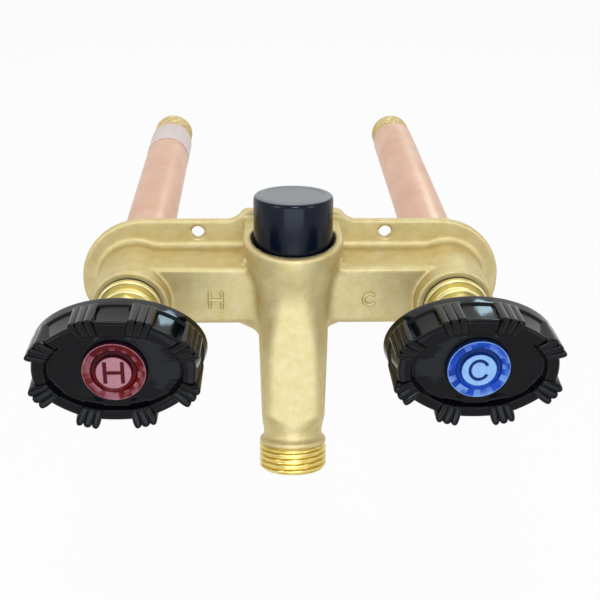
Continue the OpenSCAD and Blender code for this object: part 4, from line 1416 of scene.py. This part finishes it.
@dataclass
class Handle:
    """One oval handle as a single closed skin: ribbed skirt, rim, bowl, button cup and hub."""

    side: Side
    back: tuple[float, float, float] = (31.7, 19.5, -63.0)
    rib_start: tuple[float, float] = (0.22, 0.3)
    front: tuple[float, float, float] = (28.8, 19.5, -82.2)
    crest: tuple[float, float, float] = (28.1, 18.8, -83.0)
    inner: tuple[float, float, float] = (24.4, 15.3, -82.9)
    bowl: tuple[float, float, float] = (23.5, 14.6, -80.6)
    bowl_edge: tuple[float, float] = (1.4, 0.9)
    wall: float = 2.6
    wall_inset: float = 1.4
    cup_r: tuple[float, float] = (12.95, 11.45)
    cup_rim_y: float = -80.8
    cup_floor_y: float = -75.0
    cup_back_y: float = -72.0
    hub_r: float = 8.0
    hub_y: float = -56.0
    hole_r: float = 4.6
    rib_low: float = 0.8
    rib_proud: float = 2.6
    rib_over_rim: float = 2.3
    rib_over_inner: float = 0.9
    tip_square: tuple[float, float] = (0.7, 0.87)
    rib_turns_deg: tuple[float, float] = (26.0, 70.0)
    ridge_pitch: float = 2.9
    ridge_count: int = 3
    ridge_valley: float = 0.62
    panel_flat: float = 0.35
    pocket_depth: float = 0.8
    pocket_steps: tuple[tuple[float, float], ...] = ((0.05, 1.0), (0.88, 1.0), (0.93, 0.0))
    pocket_round: float = 0.25
    ridge_steps: int = 12
    gap_steps: int = 14

    def stations(self) -> tuple[Array, Array, Array, Array, Array]:
        """Places points around the ellipse, close together on the ridges.

        Each group of ridges is centred on one turn of the ellipse's parameter. Along a ridge the height
        follows a half circle, which falls to the base at the ends of its group and to the valley between
        ridges.

        Returns:
            The turns in radians, the ridge heights from 0 to 1, and for each station the numbers of the
            stations at the ends of its plain stretch and how far it lies between them.
        """
        quarter = np.array(self.rib_turns_deg)
        mirrored = 180 - quarter[::-1]
        centres = np.radians(np.concatenate([quarter, mirrored, 180 + quarter, 180 + mirrored]))
        a, b, _ = self.front
        speed = np.hypot(a * np.sin(centres), b * np.cos(centres))
        arc = (1 - np.cos(np.pi * np.arange(self.ridge_steps) / self.ridge_steps)) / 2
        along = np.append((np.arange(self.ridge_count)[:, None] + arc[None]).ravel(), self.ridge_count)
        bulge = np.sqrt(np.clip(1 - (2 * np.mod(along, 1.0) - 1) ** 2, 0, 1))
        between = (along > 0.5) & (along < self.ridge_count - 0.5)
        height = np.where(between, self.ridge_valley + (1 - self.ridge_valley) * bulge, bulge)
        ridges = centres[:, None] + (along[None] - self.ridge_count / 2) * self.ridge_pitch / speed[:, None]
        first, last = ridges[:, 0], ridges[:, -1]
        following = np.append(first[1:], first[0] + TURN)
        share = np.arange(1, self.gap_steps + 1) / (self.gap_steps + 1)
        gaps = last[:, None] + (following - last)[:, None] * share[None]
        turns = np.concatenate([ridges, gaps], axis=1)
        heights = np.concatenate([np.tile(height, (len(centres), 1)), np.zeros_like(gaps)], axis=1)
        index = np.arange(turns.size).reshape(turns.shape)
        start, end = index.copy(), index.copy()
        part = np.zeros(turns.shape)
        ridge_total = len(along)
        start[:, ridge_total:] = index[:, [ridge_total - 1]]
        end[:, ridge_total:] = np.roll(index[:, [0]], -1, axis=0)
        part[:, ridge_total:] = share
        return turns.ravel(), heights.ravel(), start.ravel(), end.ravel(), part.ravel()

    def rings(self) -> Array:
        """Control rings around the handle's section, from the back edge over the face and back inside.

        Returns:
            Rows of half width, half height, depth, rib out, rib over the rim, panel flatness, pocket and
            rounding.
        """
        wide, tight = self.cup_r
        bowl_a, bowl_b, bowl_y = self.bowl
        under_y = bowl_y + self.wall
        inset = self.wall_inset * self.wall
        proud, over = self.rib_proud, self.rib_over_rim
        foot, rise = (np.array(self.back) + t * np.subtract(self.front, self.back) for t in self.rib_start)
        start = np.array((*rise, self.rib_low, 0, 0.6))
        end = np.array((*self.front, proud, over + self.tip_square[0], 1))
        pocket = [(*(start + t * (end - start)), sunk, self.pocket_round) for t, sunk in self.pocket_steps]
        skirt = [
            (*self.back, 0, 0, 0, 0, 0.9), (*foot, 0, 0, 0.4, 0, 0.4), (*start, 0, 0.3), *pocket,
            (*end, 0, 0.7), (*self.crest, self.tip_square[1] * proud, over, 1, 0, 0.6),
            (*self.inner, -0.1, self.rib_over_inner, 1, 0, 0.7), (*self.bowl, -0.6, 0.1, 0.6, 0, 0.6)]
        cup = [(wide, bowl_y, 0.09), (wide, self.cup_rim_y, 0.09), (tight, self.cup_rim_y, 0.2),
               (tight, self.cup_floor_y, 0), (self.hole_r, self.cup_floor_y, 0), (self.hole_r, self.hub_y, 0),
               (self.hub_r, self.hub_y, 0.5), (self.hub_r, self.cup_back_y, 0.6),
               (wide, self.cup_back_y, 0.4), (wide, under_y, 0.3)]
        plain = [
            (bowl_a - self.bowl_edge[0], bowl_b - self.bowl_edge[1], bowl_y, 0),
            *((r, r, y, e) for r, y, e in cup),
            (self.front[0] - inset, self.front[1] - inset, under_y, 1.2),
            (self.back[0] - self.wall, self.back[1] - self.wall, self.back[2], 0.9)]
        return np.array(skirt + [(a, b, y, 0, 0, 0, 0, e) for a, b, y, e in plain], float)

    def skin(self) -> Skin:
        """Lofts the rings into one skin.

        Ring j is an ellipse. At station i it is drawn towards the chord of its plain stretch by the panel's
        flatness, then moved out along the front ellipse's normal, and forwards, by the ridge's height.
        Between the groups of ridges it is moved in by the pocket's depth.

        Returns:
            The handle's skin, centred on its stem.
        """
        turns, heights, start, end, part = self.stations()
        table = self.rings()
        loft = rounded(table[:, :7], table[:, 7], steps=4)
        a, b, y, out, over, flat, sunk = (column[:, None] for column in loft.T)
        oval = np.stack([a * np.cos(turns)[None], b * np.sin(turns)[None]], axis=-1)
        chord = oval[:, start] * (1 - part)[None, :, None] + oval[:, end] * part[None, :, None]
        oval = oval + (self.panel_flat * flat)[..., None] * (chord - oval)
        normal = np.stack([self.front[1] * np.cos(turns), self.front[0] * np.sin(turns)], axis=-1)
        normal /= np.linalg.norm(normal, axis=1, keepdims=True)
        shift = out * heights[None] - self.pocket_depth * sunk * (part > 0)[None]
        oval = oval + shift[..., None] * normal[None]
        depth = y - over * heights[None]
        middle = bar_axis(self.side.node("stem")).origin[0]
        return grid_skin(np.stack([oval[..., 0] + middle, depth, oval[..., 1]], axis=-1))

    def build(self) -> None:
        """Makes the handle."""
        add_piece(self.side.node("oval_handle"), self.skin(), ENAMEL, self.side.node("spindle"),
                  [self.side.node("handle")], crease_deg=38.0)


@dataclass
class Button:
    """The tinted button in a handle's cup: a faceted ring round a raised disc with an engraved letter."""

    side: Side
    radius: float = 11.4
    ring_crest_r: float = 11.0
    ring_bevel: float = 0.8
    ring_fall: float = 0.4
    groove_r: float = 8.3
    groove_walls: tuple[float, float] = (0.5, 0.3)
    disc_r: float = 6.3
    disc_proud: float = 0.4
    disc_edge: float = 0.2
    disc_round: float = 0.35
    groove_t: float = 1.3
    letter_depth: float = 0.45
    letter_slope: float = 0.3
    letter_w: float = 7.4
    letter_h: float = 8.5
    letter_round: float = 0.2
    hot_stroke: float = 1.3
    cold_stroke: float = 1.0
    cold_mouth_deg: float = 32.0
    hot_ink: float = 0.21
    cold_ink: float = 0.05
    disc_tone: float = 0.95
    groove_shading_tones: tuple[float, float, float] = (0.2, 0.28, 0.1)
    facets: int = 26
    facet_tone: float = 0.42
    facet_glint_contrast: float = 0.55
    lit_below: float = 0.16
    crest_highlight_tone: float = 0.75
    crest_highlight_half: float = 0.25
    crest_highlight_depth: float = 0.6
    shaded_bevel_from: float = 0.1
    face_rows: int = 46
    segments: int = 208
    seed: int = 11

    def letter(self, x: Array, z: Array) -> Array:
        """Distance to the letter's strokes: two posts and a bar for hot, an open ring for cold.

        Args:
            x: coordinates to the right.
            z: coordinates upwards.

        Returns:
            Distances in mm, negative inside the strokes.
        """
        reach = self.letter_w / 2
        if self.side is Side.HOT:
            half = self.hot_stroke / 2
            posts = round_rectangle(np.abs(x) - reach + half, z, half, self.letter_h / 2, self.letter_round)
            return np.minimum(posts, round_rectangle(x, z, reach, half, self.letter_round))
        half = self.cold_stroke / 2
        slim = self.letter_w / self.letter_h
        ring = np.abs(np.hypot(x, z * slim) - reach + half) - half
        mouth = np.abs(np.arctan2(z, x)) - math.radians(self.cold_mouth_deg)
        return np.maximum(ring, -mouth * self.letter_w / 2)

    def outline(self, front: float, back: float) -> Array:
        """Profile from the back's middle over the ring, the groove and the disc to the face's middle.

        Args:
            front: depth of the ring's crest.
            back: depth of the back.

        Returns:
            Rows of radius and depth.
        """
        groove, face = front + self.groove_t, front - self.disc_proud
        wall_out, wall_in = self.groove_walls
        table = np.array([
            (0, back, 0), (self.radius, back, 0.2), (self.radius, front + self.ring_bevel, 0.3),
            (self.ring_crest_r, front, 0.3), (self.groove_r, front + self.ring_fall, 0.2),
            (self.groove_r - wall_out, groove, 0.2), (self.disc_r + wall_in, groove, 0.2),
            (self.disc_r, face, 0.25)])
        rim = rounded(table[:, :2], table[:, 2], steps=4)
        face_r = np.linspace(self.disc_r - self.disc_round, 0, self.face_rows)
        return np.concatenate([rim[:-1], np.stack([face_r, np.full_like(face_r, face)], axis=-1)])

    def ring_tones(self, r: Array, depth: Array, turn: Array) -> Array:
        """Tones of ring and groove, all painted light and shade: glints on facets by chance, lighter below, a
        highlight along the crest and shade on the bevel.

        Args:
            r: radii of the profile.
            depth: depths of the profile behind the ring's crest.
            turn: turns about the axis.

        Returns:
            Tones from 0 to about 1, turns by profile points.
        """
        # Painted glints: each facet gets a tone by chance, as the light that it would catch.
        chance = np.random.default_rng(self.seed + self.side.value).random((2, self.facets))
        facet = np.floor(turn / TURN * self.facets).astype(int)
        outer_row = (r > (self.groove_r + self.radius) / 2).astype(int)
        below = r * np.sin(turn) / self.radius
        sparkle = self.facet_tone + self.facet_glint_contrast * (chance[outer_row, facet] - 0.5)
        # Painted light: the ring grows lighter towards its bottom.
        sparkle = sparkle + self.lit_below * below
        # Painted highlight along the ring's crest.
        edge = (np.abs(r - self.ring_crest_r) < self.crest_highlight_half) & (depth < self.crest_highlight_depth)
        sparkle = np.where(edge, np.maximum(sparkle, self.crest_highlight_tone), sparkle)
        # The groove is painted lighter towards its bottom as well.
        level, slope, least = self.groove_shading_tones
        tone = np.where(r < self.groove_r, np.maximum(level + slope * below, least), sparkle)
        # Painted shade: beyond the crest the bevel falls to the dark tint.
        return np.where(r > self.ring_crest_r + self.shaded_bevel_from, 0.0, tone)

    def build(self) -> None:
        """Makes the button.

        Point (i, j) lies at turn i and at the radius and depth of profile point j. On the disc the depth
        grows by the letter's own depth inside its strokes, and the tone falls there from the disc's to the
        ink's.
        """
        node = self.side.node("button")
        low, high = node_box(node)
        front = low[1]
        r, depth = self.outline(front, high[1]).T[:, None]
        turn = np.linspace(0, TURN, self.segments, endpoint=False)[:, None]
        on_disc = (r < self.disc_r - self.disc_edge) & (depth < front + self.groove_t)
        strokes = self.letter(r * np.cos(turn), -r * np.sin(turn))
        carved = smooth_step(0.5 - strokes / self.letter_slope) * on_disc
        height = depth + self.letter_depth * carved
        finish, slot, ink = RED_ACRYLIC, "red_plastic", self.hot_ink
        if self.side is Side.COLD:
            finish, slot, ink = BLUE_ACRYLIC, "blue_plastic", self.cold_ink
        disc_tones = self.disc_tone + (ink - self.disc_tone) * carved
        tone = np.where(on_disc, disc_tones, self.ring_tones(r, depth - front, turn))
        skin = grid_skin(bar_axis(node).place(np.broadcast_to(r, height.shape), turn, height), tone)
        add_piece(self.side.node("letter_button"), skin, finish, self.side.node("spindle"), [node])


def put(name: str, data: bpy.types.ID, basis: Array, place_m: Sequence[float]) -> bpy.types.Object:
    """Adds a lamp or a camera to the scene.

    Args:
        name: the object's name.
        data: its lamp or camera.
        basis: its own three directions, as columns.
        place_m: where it stands, in metres.

    Returns:
        The object.
    """
    matrix = np.eye(4)
    matrix[:3, :3] = basis
    matrix[:3, 3] = place_m
    made = bpy.data.objects.new(name, data)
    made.matrix_world = Matrix(matrix.tolist())
    bpy.context.scene.collection.objects.link(made)
    return made


@dataclass(frozen=True)
class Lamp:
    """A soft lamp that faces the object: its place, width and height in metres, power in watts and colour."""

    label: str
    place: tuple[float, float, float]
    size: tuple[float, float]
    power: float
    colour: str = "#FFFFFF"

    def hang(self) -> None:
        """Adds the lamp to the scene, level and turned towards the column."""
        light = bpy.data.lights.new(self.label, "AREA")
        light.shape = "RECTANGLE"
        light.size, light.size_y = self.size
        light.energy = self.power
        light.color = srgb(self.colour)[:3]
        z = np.array(self.place) - np.array(COLUMN_M)
        z = z / np.linalg.norm(z)
        x = np.cross((0.0, 0.0, 1.0), z)
        x = x / np.linalg.norm(x)
        lamp = put(self.label, light, np.stack([x, np.cross(z, x), z], axis=-1), self.place)
        lamp.visible_camera = False


@dataclass
class Studio:
    """White sweep, soft lamps and a camera that stands where the photograph's did."""

    photo_px: int = 600
    focal_px: float = 1056.0
    sensor_mm: float = 36.0
    clip_m: tuple[float, float] = (0.01, 50.0)
    pitch_deg: float = 25.73
    yaw_deg: float = -2.22
    roll_deg: float = -0.67
    eye: tuple[float, float, float] = (-11.8, -402.0, 181.5)
    floor_z: float = -120.0
    floor_half: float = 6000.0
    floor_colour: str = "#F4F4F4"
    floor_glow: float = 0.92
    air_colour: str = "#FFFFFF"
    air_light: float = 0.55
    lamps: tuple[Lamp, ...] = (
        Lamp("key_lamp", (0.05, -0.9, 0.5), (0.24, 0.07), 2.7, "#E4EEFF"),
        Lamp("front_lamp", (0.0, -0.9, 0.0), (0.9, 0.2), 1.7, "#DCE9FF"),
        Lamp("table_bounce", (0.0, -0.275, -0.105), (0.15, 0.15), 0.09, "#DCE9FF"),
        Lamp("left_lamp", (-0.7, -0.6, 0.3), (0.3, 0.3), 1.2),
        Lamp("right_lamp", (0.7, -0.6, 0.3), (0.3, 0.3), 1.0),
        Lamp("top_lamp", (-0.05, 0.25, 0.8), (0.4, 0.4), 1.2),
        Lamp("window_lamp", (0.32, 0.72, 0.46), (0.16, 0.1), 0.5, "#C8F0FF"))

    def camera(self) -> None:
        """Places the camera: pitched down, turned about the vertical, then rolled about its own view."""
        pitch, yaw, roll = (math.radians(v) for v in (self.pitch_deg, self.yaw_deg, self.roll_deg))
        look = np.array((0.0, math.cos(pitch), -math.sin(pitch)))
        right = np.array((1.0, 0.0, 0.0))
        down = np.cross(look, right)
        spin = np.array(((math.cos(yaw), -math.sin(yaw), 0), (math.sin(yaw), math.cos(yaw), 0), (0, 0, 1)))
        look, right, down = spin @ look, spin @ right, spin @ down
        across = math.cos(roll) * right + math.sin(roll) * down
        down = math.cos(roll) * down - math.sin(roll) * right
        lens = bpy.data.cameras.new("photo_camera")
        lens.sensor_width = self.sensor_mm
        lens.lens = self.focal_px / self.photo_px * self.sensor_mm
        lens.clip_start, lens.clip_end = self.clip_m
        basis = np.stack([across, -down, -look], axis=-1)
        bpy.context.scene.camera = put("photo_camera", lens, basis, np.array(self.eye) * MM)

    def seen(self, tree: Tree) -> Socket:
        """Gives 1 for rays from the camera, a gloss or glass, and 0 for diffuse light.

        Args:
            tree: the floor's or world's nodes.

        Returns:
            The output with that number.
        """
        path = add_node(tree, "ShaderNodeLightPath")
        either = path.outputs["Is Camera Ray"]
        for other in ("Is Glossy Ray", "Is Transmission Ray"):
            either = add_node(tree, "ShaderNodeMath", {0: either, 1: path.outputs[other]},
                              operation="MAXIMUM").outputs[0]
        return either

    def floor(self) -> None:
        """Lays a white floor that glows to the camera and still keeps a faint shadow."""
        half, z = self.floor_half * MM, self.floor_z * MM
        corners = [(-half, -half, z), (half, -half, z), (half, half, z), (-half, half, z)]
        mesh = bpy.data.meshes.new("sweep")
        mesh.from_pydata(corners, [], [(0, 1, 2, 3)])
        paint = bpy.data.materials.new("White sweep")
        tree = bare_tree(paint)
        lit = add_node(tree, "ShaderNodeBsdfDiffuse", {"Color": srgb(self.floor_colour)})
        glow = add_node(tree, "ShaderNodeEmission", {"Color": srgb(self.air_colour), "Strength": 1.0})
        share = add_node(tree, "ShaderNodeMath", {0: self.seen(tree), 1: self.floor_glow},
                         operation="MULTIPLY")
        mix = add_node(tree, "ShaderNodeMixShader",
                       {0: share.outputs[0], 1: lit.outputs[0], 2: glow.outputs[0]})
        add_node(tree, "ShaderNodeOutputMaterial", {"Surface": mix.outputs[0]})
        mesh.materials.append(paint)
        sweep = bpy.data.objects.new("sweep", mesh)
        bpy.context.scene.collection.objects.link(sweep)

    def world(self) -> None:
        """Makes the air white to the camera and a plain soft light to the object."""
        air = bpy.data.worlds.new("White studio")
        tree = bare_tree(air)
        strength = add_node(tree, "ShaderNodeMapRange", {0: self.seen(tree), 3: self.air_light, 4: 1.0})
        back = add_node(tree, "ShaderNodeBackground",
                        {"Color": srgb(self.air_colour), "Strength": strength.outputs[0]})
        add_node(tree, "ShaderNodeOutputWorld", {"Surface": back.outputs[0]})
        bpy.context.scene.world = air

    def build(self) -> None:
        """Sets up the camera, the floor, the air and the lamps."""
        self.camera()
        self.floor()
        self.world()
        for lamp in self.lamps:
            lamp.hang()
        bpy.context.scene.view_settings.view_transform = "Standard"


def main() -> None:
    """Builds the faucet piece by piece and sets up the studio."""
    logging.basicConfig(level=logging.INFO, format="%(name)s %(message)s")
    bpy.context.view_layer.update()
    casting = Casting()
    casting.build()
    VacuumBreaker(casting.vent_axis()).build()
    for side in Side:
        InletTube(side).build()
        ValveHead(side).build()
        Handle(side).build()
        Button(side).build()
    Studio().build()


if __name__ == "__main__":
    main()
